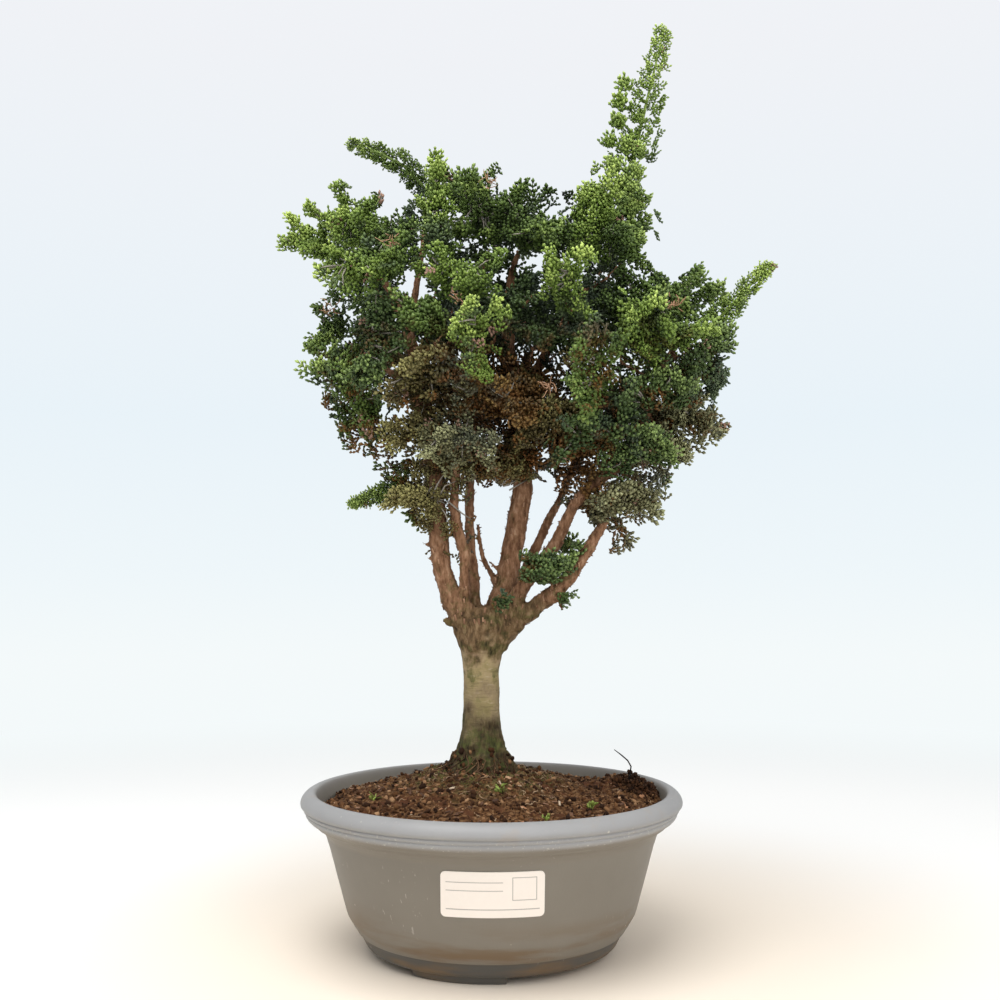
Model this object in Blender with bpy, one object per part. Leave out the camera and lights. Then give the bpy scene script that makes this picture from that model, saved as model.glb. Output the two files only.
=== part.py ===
"""Hinoki cypress bonsai in a round plastic bowl, built as separate closed parts.

Lengths are in metres. The front faces -Y, right is +X and up is +Z.
The parts are built round the pot's axis, then moved so that the centre of the
bounding box's bottom is the origin.
"""
import math
import random

import bmesh
import bpy
from mathutils import Matrix, Vector
from mathutils.bvhtree import BVHTree

MM = 0.001

# Pot
POT_SEGMENTS = 36
POT_HEIGHT = 0.0860
RIM_RADIUS = 0.1050
FLOOR_UNDERSIDE = 0.0035
FLOOR_TOP = 0.0055
WALL_BEND = (0.0790, 0.0215)
WALL_TOP = (0.0909, 0.0625)
INNER_EDGE = (0.0966, 0.0852)
INNER_STEP = (0.0902, 0.0655)
FOOT_INNER_RADIUS = 0.0570
FOOT_OUTER_RADIUS = 0.0650
FOOT_TOP_RADIUS = 0.0664
FOOT_SINK = 0.0012
FOOT_HALF_ANGLE = 22.0
FOOT_AZIMUTHS = (-61.0, 59.0, 179.0)
DRAIN_RADIUS = 0.0050
DRAIN_RING_RADIUS = 0.0350
DRAIN_COUNT = 4

# Label
LABEL_WIDTH = 0.0500
LABEL_Z_LOW = 0.0380
LABEL_Z_HIGH = 0.0610
LABEL_CORNER = 0.0028
LABEL_THICKNESS = 0.0006
LABEL_AZIMUTH = -89.3

# Clearances
SEAT_GAP = 0.0003
CLEARANCE = 0.0005

# Soil
SOIL_HOLE_GAP = 0.0006
SOIL_RIM_HEIGHT = 0.0785
SOIL_HOLE_HEIGHT = 0.0985
SOIL_BUMP = 0.0010
SOIL_HEAP = (0.0800, 0.0200, 0.0110, 0.0170)

# Trunk
TRUNK_X = -0.0058
TRUNK_SIDES = 18
TRUNK_RINGS = (
    (0.0640, 0.0165, 1.00, 0.0000),
    (0.0905, 0.0165, 1.00, 0.0000),
    (0.0960, 0.0155, 0.78, 0.0000),
    (0.1020, 0.0138, 0.45, 0.0000),
    (0.1090, 0.0122, 0.20, 0.0000),
    (0.1190, 0.0108, 0.06, 0.0000),
    (0.1340, 0.0101, 0.00, 0.0000),
    (0.1500, 0.0098, 0.00, 0.0003),
    (0.1600, 0.0102, 0.00, 0.0012),
    (0.1680, 0.0118, 0.00, 0.0024),
    (0.1770, 0.0128, 0.00, 0.0042),
    (0.1860, 0.0100, 0.00, 0.0048),
)
ROOT_RIDGES = (
    (-18.0, 0.0110),
    (-78.0, 0.0075),
    (-140.0, 0.0085),
    (160.0, 0.0095),
    (95.0, 0.0100),
    (38.0, 0.0070),
)
ROOT_RIDGE_WIDTH = 17.0

# Front viewpoint, used to place the limbs and sprays by how they line up from the front
EYE_X = 0.0046
EYE_Y = -0.6770
EYE_Z = 0.1990

# Limbs, in millimetres: points (x, z) lined up on the pot's middle plane, then depth y, then radius
LIMBS = {
    "left": (
        (-10.0, 166.0, -2.0, 7.5),
        (-16.5, 180.0, -3.0, 7.0),
        (-22.4, 190.0, -5.0, 6.2),
        (-28.0, 207.0, -7.0, 5.6),
        (-30.0, 224.0, -9.0, 5.5),
        (-31.5, 248.0, -11.0, 5.1),
        (-34.5, 280.0, -13.0, 4.7),
        (-40.5, 312.0, -14.0, 4.2),
        (-47.0, 340.0, -13.0, 3.6),
        (-54.0, 358.0, -11.0, 2.9),
        (-62.0, 372.0, -8.0, 2.1),
    ),
    "low_left": (
        (-40.0, 308.0, -14.0, 3.0),
        (-56.0, 318.0, -12.0, 2.4),
        (-72.0, 329.0, -9.0, 1.7),
    ),
    "upper_left": (
        (-46.5, 338.0, -13.0, 2.7),
        (-44.0, 364.0, -6.0, 2.4),
        (-40.0, 390.0, 0.0, 1.9),
        (-38.5, 408.0, 3.0, 1.4),
    ),
    "front": (
        (-10.0, 176.0, -6.0, 4.5),
        (-15.5, 190.0, -10.0, 3.6),
        (-15.5, 206.0, -13.0, 3.2),
        (-15.0, 216.0, -15.0, 3.6),
        (-19.0, 228.0, -16.5, 3.5),
        (-21.5, 242.0, -19.0, 3.1),
        (-20.0, 264.0, -21.0, 2.7),
        (-19.0, 290.0, -23.0, 2.4),
        (-21.0, 315.0, -24.0, 2.0),
        (-24.0, 335.0, -25.0, 1.5),
    ),
    "back": (
        (-6.0, 176.0, 4.0, 5.0),
        (-9.5, 190.0, 6.0, 3.8),
        (-10.2, 204.0, 8.0, 3.6),
        (-11.8, 218.0, 9.0, 3.3),
        (-13.0, 240.0, 10.0, 3.0),
        (-12.5, 270.0, 10.0, 2.8),
        (-10.5, 300.0, 10.0, 2.6),
        (-9.0, 335.0, 9.0, 2.4),
        (-7.5, 365.0, 6.0, 2.0),
        (-6.0, 385.0, 2.0, 1.5),
    ),
    "thin": (
        (4.0, 196.0, 4.0, 2.6),
        (-1.0, 206.0, 10.0, 2.0),
        (-5.0, 213.0, 15.0, 1.8),
        (-7.0, 224.0, 17.0, 1.6),
        (-8.0, 233.0, 17.0, 1.3),
    ),
    "main": (
        (0.0, 170.0, 1.0, 9.0),
        (3.5, 184.0, 2.0, 8.2),
        (8.6, 201.0, 4.0, 6.6),
        (11.4, 218.0, 5.0, 6.2),
        (14.8, 235.0, 6.0, 6.2),
        (17.5, 252.0, 7.0, 6.0),
        (17.2, 275.0, 8.0, 5.6),
        (13.5, 303.0, 8.0, 5.0),
        (9.5, 330.0, 6.0, 4.2),
        (9.0, 358.0, 4.0, 3.3),
        (11.5, 377.0, 2.0, 2.4),
        (15.0, 388.0, 1.0, 1.7),
    ),
    "crown": (
        (14.0, 299.0, 8.0, 4.0),
        (26.0, 322.0, 10.0, 3.4),
        (40.0, 346.0, 10.0, 2.9),
        (53.0, 366.0, 11.0, 2.3),
    ),
    "inner_right": (
        (6.0, 176.0, 4.0, 6.0),
        (13.0, 187.0, 8.0, 4.2),
        (17.1, 201.0, 11.0, 3.6),
        (21.6, 212.4, 13.0, 3.3),
        (27.2, 223.7, 14.0, 3.1),
        (32.8, 236.7, 15.0, 2.8),
        (38.4, 246.3, 16.0, 2.6),
        (43.0, 257.5, 17.0, 2.5),
        (48.0, 272.0, 18.0, 2.3),
        (51.5, 288.0, 19.0, 2.1),
        (55.0, 309.0, 20.0, 1.9),
        (59.0, 335.0, 22.0, 1.5),
    ),
    "right": (
        (8.0, 180.0, -4.0, 6.0),
        (16.5, 196.0, -6.0, 4.5),
        (27.2, 211.0, -8.0, 3.8),
        (35.7, 221.0, -9.0, 3.7),
        (41.3, 232.0, -10.0, 3.6),
        (47.0, 244.6, -11.0, 3.5),
        (55.4, 253.7, -11.0, 3.3),
        (63.9, 259.3, -11.0, 3.0),
        (73.5, 266.5, -10.0, 2.7),
        (83.0, 280.5, -8.0, 2.5),
        (91.0, 303.4, -5.0, 2.3),
        (98.0, 322.0, -3.0, 2.0),
        (104.0, 332.0, -2.0, 1.6),
    ),
    "low_right": (
        (2.0, 166.0, 0.0, 8.0),
        (9.5, 174.5, -3.0, 6.2),
        (16.5, 180.0, -6.0, 5.6),
        (25.5, 187.2, -9.0, 5.0),
        (35.7, 194.5, -12.0, 4.7),
        (44.1, 203.0, -14.0, 4.3),
        (49.7, 212.0, -15.0, 3.9),
        (55.9, 221.0, -15.0, 3.5),
        (61.0, 229.5, -15.0, 3.0),
        (64.5, 235.5, -14.0, 2.4),
    ),
}
LIMB_SIDES = {"main": 8, "left": 7, "low_right": 7, "right": 6}
LIMB_SIDES_OTHER = 5

# Dead stubs, in millimetres: start and end lined up as above, each with its depth, then the radius
STUBS = (
    ((-18.0, 174.5, -2.0), (-27.5, 179.0, -5.0), 1.6),
    ((-28.0, 211.0, -7.0), (-38.0, 214.0, -9.0), 1.3),
    ((-30.0, 220.0, -9.0), (-40.0, 222.0, -10.0), 1.4),
    ((6.0, 205.0, 4.0), (-2.0, 212.0, -1.0), 1.4),
    ((15.0, 205.0, -6.0), (22.0, 215.0, -15.0), 1.3),
    ((35.7, 194.5, -12.0), (40.0, 185.0, -16.0), 1.3),
    ((17.0, 260.0, 7.0), (24.0, 266.0, 18.0), 1.3),
)

TWIG_RADIUS = 0.0013
TWIG_SIDES = 3
CORE_BASE_RADIUS = 0.0014
CORE_SIDES = 6
STEM_SIDES = 4
STEM_RADIUS = 0.0019
BLADE_THICKNESS = 0.0011
LOBE_HALF_WIDTH = 0.12
NOTCH_DEPTH = 0.66
FULLNESS = 1.22
FLAT_ANGLE = math.radians(3.0)
SEED = 41

# Sprays that are a bare green stem with short fans
SLIM = ("spire_top", "far_right", "shoot_low_left")

# Foliage colours: linear colour of each age of leaf
LEAF_COLOURS = {
    "tip": (0.320, 0.450, 0.080),
    "green": (0.140, 0.270, 0.060),
    "deep": (0.060, 0.125, 0.045),
    "blue": (0.055, 0.120, 0.075),
    "grey": (0.135, 0.170, 0.105),
    "olive": (0.160, 0.160, 0.060),
    "rust": (0.270, 0.110, 0.040),
}

# Sprays, in millimetres: limb it grows from, base (x, z, y), tip (x, z, y), reach, fans per whorl,
# bow, colour. x and z line up on the pot's middle plane, as for the limbs.
SPRAYS = {
    "left_crown": ("left", (-83.0, 386.0, -14.0), (-88.0, 426.5, -16.0), 16.5, (3, 2), 0.0, "tip"),
    "left_crown_right": ("left", (-67.0, 383.0, 14.0), (-56.0, 418.0, 18.0), 17.0, (3, 2), 0.0, "green"),
    "left_tip": ("left", (-89.0, 382.0, 0.0), (-119.0, 412.0, 0.0), 11.0, (2, 2, 1), 0.0, "tip"),
    "left_front": ("left", (-66.0, 368.0, -36.0), (-77.0, 402.0, -42.0), 18.0, (3, 2), 0.0, "tip"),
    "left_back": ("left", (-60.0, 374.0, 36.0), (-71.0, 408.0, 50.0), 20.0, (3, 2), 0.0, "deep"),
    "spire_left": ("upper_left", (-30.0, 376.0, -24.0), (-31.0, 453.0, -26.0), 15.0, (2, 2, 2), 0.0, "tip"),
    "shoot_long": ("upper_left", (-40.0, 421.0, 6.0), (-82.0, 444.5, 0.0), 12.5, (2, 2, 2), 5.0, "green"),
    "dome_left": ("upper_left", (-18.0, 406.0, 10.0), (-15.5, 445.0, 8.0), 13.0, (2, 2), 0.0, "green"),
    "dome_top": ("back", (-2.0, 393.0, -8.0), (-4.4, 433.0, -12.0), 21.0, (3, 3), 0.0, "green"),
    "dome_right": ("main", (16.0, 393.0, -22.0), (28.0, 418.0, -26.0), 18.0, (3, 2), 0.0, "green"),
    "dome_back": ("main", (6.0, 390.0, 36.0), (4.0, 422.0, 50.0), 21.0, (3, 3), 0.0, "deep"),
    "shoot_yellow": ("crown", (45.0, 383.0, -22.0), (70.0, 436.0, -20.0), 15.0, (2, 2, 2), 3.0, "tip"),
    "crown_notch": ("crown", (43.0, 381.0, 12.0), (38.5, 416.0, 14.0), 15.0, (2, 2), 0.0, "green"),
    "spire_lower": ("crown", (62.7, 379.0, 8.0), (80.0, 445.0, 6.0), 16.5, (2, 2, 2, 2), 0.0, "green"),
    "spire_top": ("spire_lower", (81.0, 444.0, 6.0), (99.4, 519.0, 4.0), 12.5, (2, 2, 2, 2), 0.0, "tip"),
    "spire_right": ("crown", (73.4, 383.0, -14.0), (88.5, 409.0, -12.0), 12.0, (2, 1), 0.0, "green"),
    "spire_back": ("crown", (64.0, 380.0, 36.0), (68.0, 416.0, 46.0), 20.0, (3, 2), 0.0, "deep"),
    "fan_bright": ("main", (24.4, 365.0, -42.0), (62.0, 371.0, -52.0), 15.5, (2, 2), 6.0, "tip"),
    "tuft_front": ("front", (-22.4, 358.0, -42.0), (-14.0, 396.0, -48.0), 16.5, (3, 2), 0.0, "tip"),
    "centre_inner": ("back", (3.5, 346.0, -22.0), (4.6, 377.0, -28.0), 18.0, (3, 2), 0.0, "deep"),
    "front_bright": ("front", (-26.4, 343.0, -62.0), (5.7, 338.0, -70.0), 14.5, (2, 2), 4.0, "tip"),
    "front_left": ("front", (-38.0, 340.0, -44.0), (-38.0, 372.0, -54.0), 15.0, (2, 2), 0.0, "green"),
    "centre_back": ("back", (-7.8, 335.0, 36.0), (-15.0, 361.0, 50.0), 20.0, (3, 2), 0.0, "deep"),
    "centre_right": ("crown", (24.0, 334.0, -24.0), (33.0, 356.0, -32.0), 16.5, (2, 2), 0.0, "deep"),
    "back_centre": ("crown", (30.0, 340.0, 40.0), (32.8, 371.5, 54.0), 21.0, (3, 3), 0.0, "green"),
    "block_top": ("right", (90.3, 344.0, -12.0), (97.7, 385.5, -14.0), 18.0, (3, 2), 0.0, "green"),
    "block_back": ("right", (101.6, 343.0, 22.0), (113.0, 378.5, 26.0), 15.0, (2, 2), 0.0, "green"),
    "block_front": ("right", (102.0, 332.0, -36.0), (114.0, 357.0, -40.0), 14.0, (2, 2), 0.0, "tip"),
    "strip_right": ("right", (74.0, 342.0, -40.0), (96.0, 350.0, -48.0), 16.0, (2, 2), 4.0, "tip"),
    "back_right": ("inner_right", (75.0, 332.0, 40.0), (92.0, 358.0, 52.0), 21.0, (3, 2), 0.0, "green"),
    "far_right": ("right", (118.0, 337.0, 0.0), (157.0, 381.0, -2.0), 12.0, (2, 2, 2), 0.0, "tip"),
    "bunch_right": ("right", (110.7, 334.0, -12.0), (130.0, 319.0, -14.0), 16.0, (3, 2), 0.0, "deep"),
    "tips_right": ("right", (118.0, 314.0, 12.0), (140.0, 316.5, 12.0), 10.5, (2, 1), 0.0, "blue"),
    "front_right": ("inner_right", (50.0, 325.0, -48.0), (64.0, 318.0, -62.0), 17.0, (2, 2), 0.0, "green"),
    "right_mid": ("right", (80.0, 312.0, -30.0), (96.0, 296.0, -38.0), 16.5, (3, 2), 0.0, "deep"),
    "right_low": ("inner_right", (56.0, 298.0, -28.0), (60.0, 270.0, -36.0), 16.5, (3, 2), 0.0, "deep"),
    "back_right_low": ("inner_right", (61.0, 310.0, 40.0), (72.0, 288.0, 52.0), 20.0, (3, 2), 0.0, "deep"),
    "fringe_top": ("right", (100.0, 304.0, 10.0), (106.0, 280.0, 14.0), 15.5, (2, 2), 0.0, "grey"),
    "fringe_mid": ("right", (92.0, 286.0, 8.0), (95.0, 262.0, 8.0), 14.5, (2, 2), 0.0, "grey"),
    "fringe_low": ("right", (72.0, 256.0, -16.0), (78.0, 232.0, -18.0), 15.0, (3, 2), 0.0, "grey"),
    "under_right": ("right", (80.0, 286.0, -24.0), (86.0, 262.0, -28.0), 15.0, (2, 2), 0.0, "deep"),
    "rust_right": ("inner_right", (55.4, 292.0, -8.0), (53.0, 267.0, -11.0), 15.5, (2, 2), 0.0, "rust"),
    "inner_rust": ("main", (14.8, 318.0, -22.0), (9.1, 286.0, -28.0), 19.0, (3, 3), 0.0, "rust"),
    "back_low": ("main", (11.4, 312.0, 36.0), (11.4, 283.0, 48.0), 19.0, (3, 2), 0.0, "olive"),
    "main_low": ("main", (8.0, 272.0, -12.0), (-5.0, 242.0, -16.0), 15.0, (3, 2), 0.0, "blue"),
    "low_left_top": ("low_left", (-83.0, 337.0, 6.0), (-108.0, 346.0, 6.0), 13.5, (2, 2), 0.0, "green"),
    "low_left_bunch": ("low_left", (-73.0, 320.0, -15.0), (-93.5, 305.0, -18.0), 19.0, (3, 2), 0.0, "green"),
    "low_left_front": ("low_left", (-57.0, 333.0, -43.0), (-75.0, 340.0, -54.0), 17.0, (3, 2), 0.0, "deep"),
    "low_left_back": ("low_left", (-60.0, 336.0, 34.0), (-79.0, 347.0, 44.0), 19.0, (3, 2), 0.0, "deep"),
    "left_hang": ("front", (-33.0, 328.0, -42.0), (-35.0, 303.0, -46.0), 18.5, (3, 2), 0.0, "olive"),
    "column_front": ("front", (-19.0, 300.0, -33.0), (-20.0, 260.0, -40.0), 16.5, (3, 2), 0.0, "grey"),
    "column_low": ("left", (-40.0, 264.0, -22.0), (-45.0, 230.0, -26.0), 14.5, (3, 2), 0.0, "olive"),
    "shoot_low_left": ("left", (-44.0, 252.0, 0.0), (-79.0, 246.0, -2.0), 9.5, (2, 2, 1), 4.0, "green"),
    "centre_low": ("main", (32.0, 306.0, -22.0), (35.0, 280.0, -30.0), 14.0, (3, 2), 0.0, "olive"),
    "column_mid": ("left", (-43.0, 300.0, -26.0), (-42.0, 272.0, -32.0), 15.5, (3, 2), 0.0, "olive"),
    "low_tuft": ("low_right", (33.4, 201.0, -24.0), (33.4, 217.0, -26.0), 12.0, (2, 2), 0.0, "green"),
}

collection = bpy.data.collections.new("hinoki_bonsai")
cutters = bpy.data.collections.new("cutters")


def clear_scene():
    """Remove whatever the scene starts with."""
    for old in list(bpy.data.objects):
        bpy.data.objects.remove(old, do_unlink=True)
    bpy.context.scene.collection.children.link(collection)
    bpy.context.scene.collection.children.link(cutters)


def material(name, colour, roughness):
    """A plain material with one colour."""
    made = bpy.data.materials.new(name)
    made.use_nodes = True
    shader = made.node_tree.nodes["Principled BSDF"]
    shader.inputs["Base Color"].default_value = (*colour, 1.0)
    shader.inputs["Roughness"].default_value = roughness
    shader.inputs["Metallic"].default_value = 0.0
    made.diffuse_color = (*colour, 1.0)
    return made


def new_object(name, verts, faces, home):
    """A mesh object with its normals facing out."""
    mesh = bpy.data.meshes.new(name)
    mesh.from_pydata([tuple(v) for v in verts], [], faces)
    made = bpy.data.objects.new(name, mesh)
    home.objects.link(made)
    work = bmesh.new()
    work.from_mesh(mesh)
    bmesh.ops.recalc_face_normals(work, faces=work.faces)
    work.to_mesh(mesh)
    work.free()
    return made


def join_all(target, parts, operation, solver):
    """Apply one Boolean between the target and a collection, then drop the collection's objects."""
    group = bpy.data.collections.new(target.name + "_parts")
    bpy.context.scene.collection.children.link(group)
    for part in parts:
        for home in list(part.users_collection):
            home.objects.unlink(part)
        group.objects.link(part)
    boolean = target.modifiers.new("join", "BOOLEAN")
    boolean.operation = operation
    boolean.operand_type = "COLLECTION"
    boolean.collection = group
    boolean.solver = solver
    bpy.context.view_layer.update()
    graph = bpy.context.evaluated_depsgraph_get()
    result = bpy.data.meshes.new_from_object(target.evaluated_get(graph))
    target.modifiers.clear()
    old = target.data
    target.data = result
    bpy.data.meshes.remove(old)
    for part in parts:
        bpy.data.objects.remove(part, do_unlink=True)
    bpy.data.collections.remove(group)


def keep_largest(target):
    """Drop scraps and any wall of a sealed hollow, and weld points that coincide."""
    work = bmesh.new()
    work.from_mesh(target.data)
    bmesh.ops.remove_doubles(work, verts=work.verts, dist=0.00001)
    work.verts.ensure_lookup_table()
    seen_verts = set()
    groups = []
    for start in work.verts:
        if start in seen_verts:
            continue
        stack = [start]
        group = []
        seen_verts.add(start)
        while stack:
            vert = stack.pop()
            group.append(vert)
            for edge in vert.link_edges:
                other = edge.other_vert(vert)
                if other not in seen_verts:
                    seen_verts.add(other)
                    stack.append(other)
        groups.append(group)
    groups.sort(key=len)
    for group in groups[:-1]:
        bmesh.ops.delete(work, geom=group, context="VERTS")
    bmesh.ops.triangulate(work, faces=work.faces)
    bmesh.ops.recalc_face_normals(work, faces=work.faces)
    work.to_mesh(target.data)
    work.free()


def flatten(target):
    """Join faces that lie in one plane, then split them into triangles again."""
    work = bmesh.new()
    work.from_mesh(target.data)
    bmesh.ops.dissolve_limit(work, angle_limit=FLAT_ANGLE, verts=work.verts, edges=work.edges)
    bmesh.ops.triangulate(work, faces=work.faces)
    work.to_mesh(target.data)
    work.free()


def seen(x, z, y):
    """The point at depth y that lines up, from the front, with (x, z) on the middle plane."""
    scale = (y * MM - EYE_Y) / -EYE_Y
    return Vector((EYE_X + (x * MM - EYE_X) * scale, y * MM, EYE_Z + (z * MM - EYE_Z) * scale))


def frames(points, end=None):
    """Direction and two side vectors at each point of a path, without sudden turns."""
    side = None
    result = []
    for index, point in enumerate(points):
        ahead = points[min(index + 1, len(points) - 1)]
        behind = points[max(index - 1, 0)]
        along = (ahead - behind).normalized()
        if end and index == len(points) - 1:
            along = end
        if side is None:
            pick = Vector((0.0, 1.0, 0.0)) if abs(along.y) < 0.8 else Vector((1.0, 0.0, 0.0))
            side = pick.cross(along).normalized()
        side = (side - along * side.dot(along)).normalized()
        result.append((along, side, along.cross(side)))
    return result


def tube(points, radii, sides, turn=0.0, end=None):
    """Points and faces of a closed tube along a path. Its end faces the way given."""
    verts = []
    for point, radius, (along, side, across) in zip(points, radii, frames(points, end)):
        for step in range(sides):
            angle = turn + math.tau * step / sides
            verts.append(point + side * math.cos(angle) * radius + across * math.sin(angle) * radius)
    faces = []
    for ring in range(len(points) - 1):
        for step in range(sides):
            following = (step + 1) % sides
            low = ring * sides
            faces.append((low + step, low + following, low + sides + following, low + sides + step))
    faces.append(tuple(range(sides - 1, -1, -1)))
    last = (len(points) - 1) * sides
    faces.append(tuple(range(last, last + sides)))
    return verts, faces


def revolve(profile, segments, turn):
    """Points and faces of a closed profile of (radius, z) turned round the Z axis."""
    verts = []
    rings = []
    for radius, z in profile:
        if radius == 0.0:
            rings.append([len(verts)] * segments)
            verts.append(Vector((0.0, 0.0, z)))
            continue
        rings.append([len(verts) + step for step in range(segments)])
        for step in range(segments):
            angle = turn + math.tau * step / segments
            verts.append(Vector((radius * math.cos(angle), radius * math.sin(angle), z)))
    faces = []
    for ring in range(len(profile) - 1):
        for step in range(segments):
            following = (step + 1) % segments
            near = rings[ring]
            far = rings[ring + 1]
            corners = (near[step], near[following], far[following], far[step])
            faces.append(tuple(dict.fromkeys(corners)))
    return verts, faces


def ring_block(inner, outer, outer_top, low, high, middle, half, steps):
    """Points and faces of a short arc of a ring, used for the feet."""
    verts = []
    for step in range(steps + 1):
        angle = math.radians(middle - half + 2.0 * half * step / steps)
        across = Vector((math.cos(angle), math.sin(angle), 0.0))
        verts.append(across * inner + Vector((0.0, 0.0, low)))
        verts.append(across * outer + Vector((0.0, 0.0, low)))
        verts.append(across * outer_top + Vector((0.0, 0.0, high)))
        verts.append(across * inner + Vector((0.0, 0.0, high)))
    faces = [(0, 1, 2, 3), tuple(4 * steps + corner for corner in (3, 2, 1, 0))]
    for step in range(steps):
        for corner in range(4):
            following = (corner + 1) % 4
            low_row = 4 * step
            high_row = 4 * (step + 1)
            faces.append((low_row + corner, high_row + corner, high_row + following, low_row + following))
    return verts, faces


def build_pot():
    """The moulded bowl, with a thick grooved rim, three feet and drain holes."""
    profile = (
        (0.0, FLOOR_UNDERSIDE),
        (0.0672, FLOOR_UNDERSIDE),
        (0.0692, 0.0058),
        (0.0724, 0.0120),
        (0.0730, 0.0122),
        WALL_BEND,
        WALL_TOP,
        (0.0926, 0.0666),
        (0.0990, 0.0716),
        (0.1018, 0.0745),
        (0.1031, 0.0766),
        (0.1026, 0.0780),
        (RIM_RADIUS, 0.0800),
        (0.1036, 0.0838),
        (0.0995, POT_HEIGHT),
        INNER_EDGE,
        INNER_STEP,
        (0.0770, 0.0225),
        (0.0662, FLOOR_TOP),
        (0.0, FLOOR_TOP),
    )
    turn = math.radians(-90.0)
    pot = new_object("pot", *revolve(profile, POT_SEGMENTS, turn), collection)
    feet = []
    for azimuth in FOOT_AZIMUTHS:
        shape = ring_block(
            FOOT_INNER_RADIUS, FOOT_OUTER_RADIUS, FOOT_TOP_RADIUS,
            0.0, FLOOR_UNDERSIDE + FOOT_SINK, azimuth, FOOT_HALF_ANGLE, 4,
        )
        feet.append(new_object("foot", *shape, cutters))
    join_all(pot, feet, "UNION", "EXACT")
    drains = []
    for number in range(DRAIN_COUNT + 1):
        angle = math.tau * number / DRAIN_COUNT + math.radians(45.0)
        out = DRAIN_RING_RADIUS if number < DRAIN_COUNT else 0.0
        middle = Vector((out * math.cos(angle), out * math.sin(angle), 0.0))
        ends = (middle, middle + Vector((0.0, 0.0, 2.0 * FLOOR_TOP)))
        drain = new_object("drain", *tube(ends, (DRAIN_RADIUS, DRAIN_RADIUS), 8), cutters)
        drain.hide_render = True
        drain.display_type = "WIRE"
        drains.append(drain)
    join_all(pot, drains, "DIFFERENCE", "EXACT")
    return pot


def facet_radius(radius, angle):
    """Radius of the faceted pot wall at an angle, in degrees, for its corner radius."""
    width = 360.0 / POT_SEGMENTS
    off = (angle + 90.0) % width - width / 2.0
    return radius * math.cos(math.radians(width / 2.0)) / math.cos(math.radians(off))


def build_label():
    """The blank sticker that follows the wall's facets on the front."""
    slope = (WALL_TOP[0] - WALL_BEND[0]) / (WALL_TOP[1] - WALL_BEND[1])
    middle_z = (LABEL_Z_LOW + LABEL_Z_HIGH) / 2.0
    middle_radius = WALL_BEND[0] + slope * (middle_z - WALL_BEND[1])
    half_height = (LABEL_Z_HIGH - LABEL_Z_LOW) / 2.0
    half_width = LABEL_WIDTH / 2.0
    distances = [0.0, 0.0008, LABEL_CORNER]
    columns = [-half_width + d for d in distances] + [half_width - d for d in reversed(distances)]
    facet = 360.0 / POT_SEGMENTS
    first = math.ceil((LABEL_AZIMUTH - math.degrees(half_width / middle_radius)) / facet)
    for count in range(4):
        along = math.radians((first + count) * facet - LABEL_AZIMUTH) * middle_radius
        if abs(along) < half_width - LABEL_CORNER:
            columns.append(along)
    columns.sort()
    verts = []
    for along in columns:
        edge = half_width - abs(along)
        cut = max(LABEL_CORNER - edge, 0.0)
        height = half_height - LABEL_CORNER + math.sqrt(max(LABEL_CORNER ** 2 - cut ** 2, 0.0))
        angle = LABEL_AZIMUTH + math.degrees(along / middle_radius)
        outward = Vector((math.cos(math.radians(angle)), math.sin(math.radians(angle)), 0.0))
        for lift in (SEAT_GAP + 0.00005, SEAT_GAP + LABEL_THICKNESS):
            for z in (middle_z - height, middle_z + height):
                radius = WALL_BEND[0] + slope * (z - WALL_BEND[1])
                out = facet_radius(radius, angle) + lift * math.sqrt(1.0 + slope * slope)
                verts.append(outward * out + Vector((0.0, 0.0, z)))
    faces = [(0, 1, 3, 2)]
    for column in range(len(columns) - 1):
        a = 4 * column
        b = a + 4
        faces.append((a, b, b + 1, a + 1))
        faces.append((a + 2, a + 3, b + 3, b + 2))
        faces.append((a, a + 2, b + 2, b))
        faces.append((a + 1, b + 1, b + 3, a + 3))
    last = 4 * (len(columns) - 1)
    faces.append((last, last + 2, last + 3, last + 1))
    return new_object("label", verts, faces, collection)


def ridge(angle):
    """How far the root ridges stand out at an angle in degrees."""
    out = 0.0
    for middle, height in ROOT_RIDGES:
        off = (angle - middle + 180.0) % 360.0 - 180.0
        out = max(out, height * math.exp(-((off / ROOT_RIDGE_WIDTH) ** 2)))
    return out


def foot_corner(step, radius, gain, extra):
    """A corner of the trunk's outline, with its root ridges."""
    angle = 360.0 * step / TRUNK_SIDES
    out = radius + gain * ridge(angle) + extra
    return Vector((out * math.cos(math.radians(angle)), out * math.sin(math.radians(angle)), 0.0))


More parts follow.
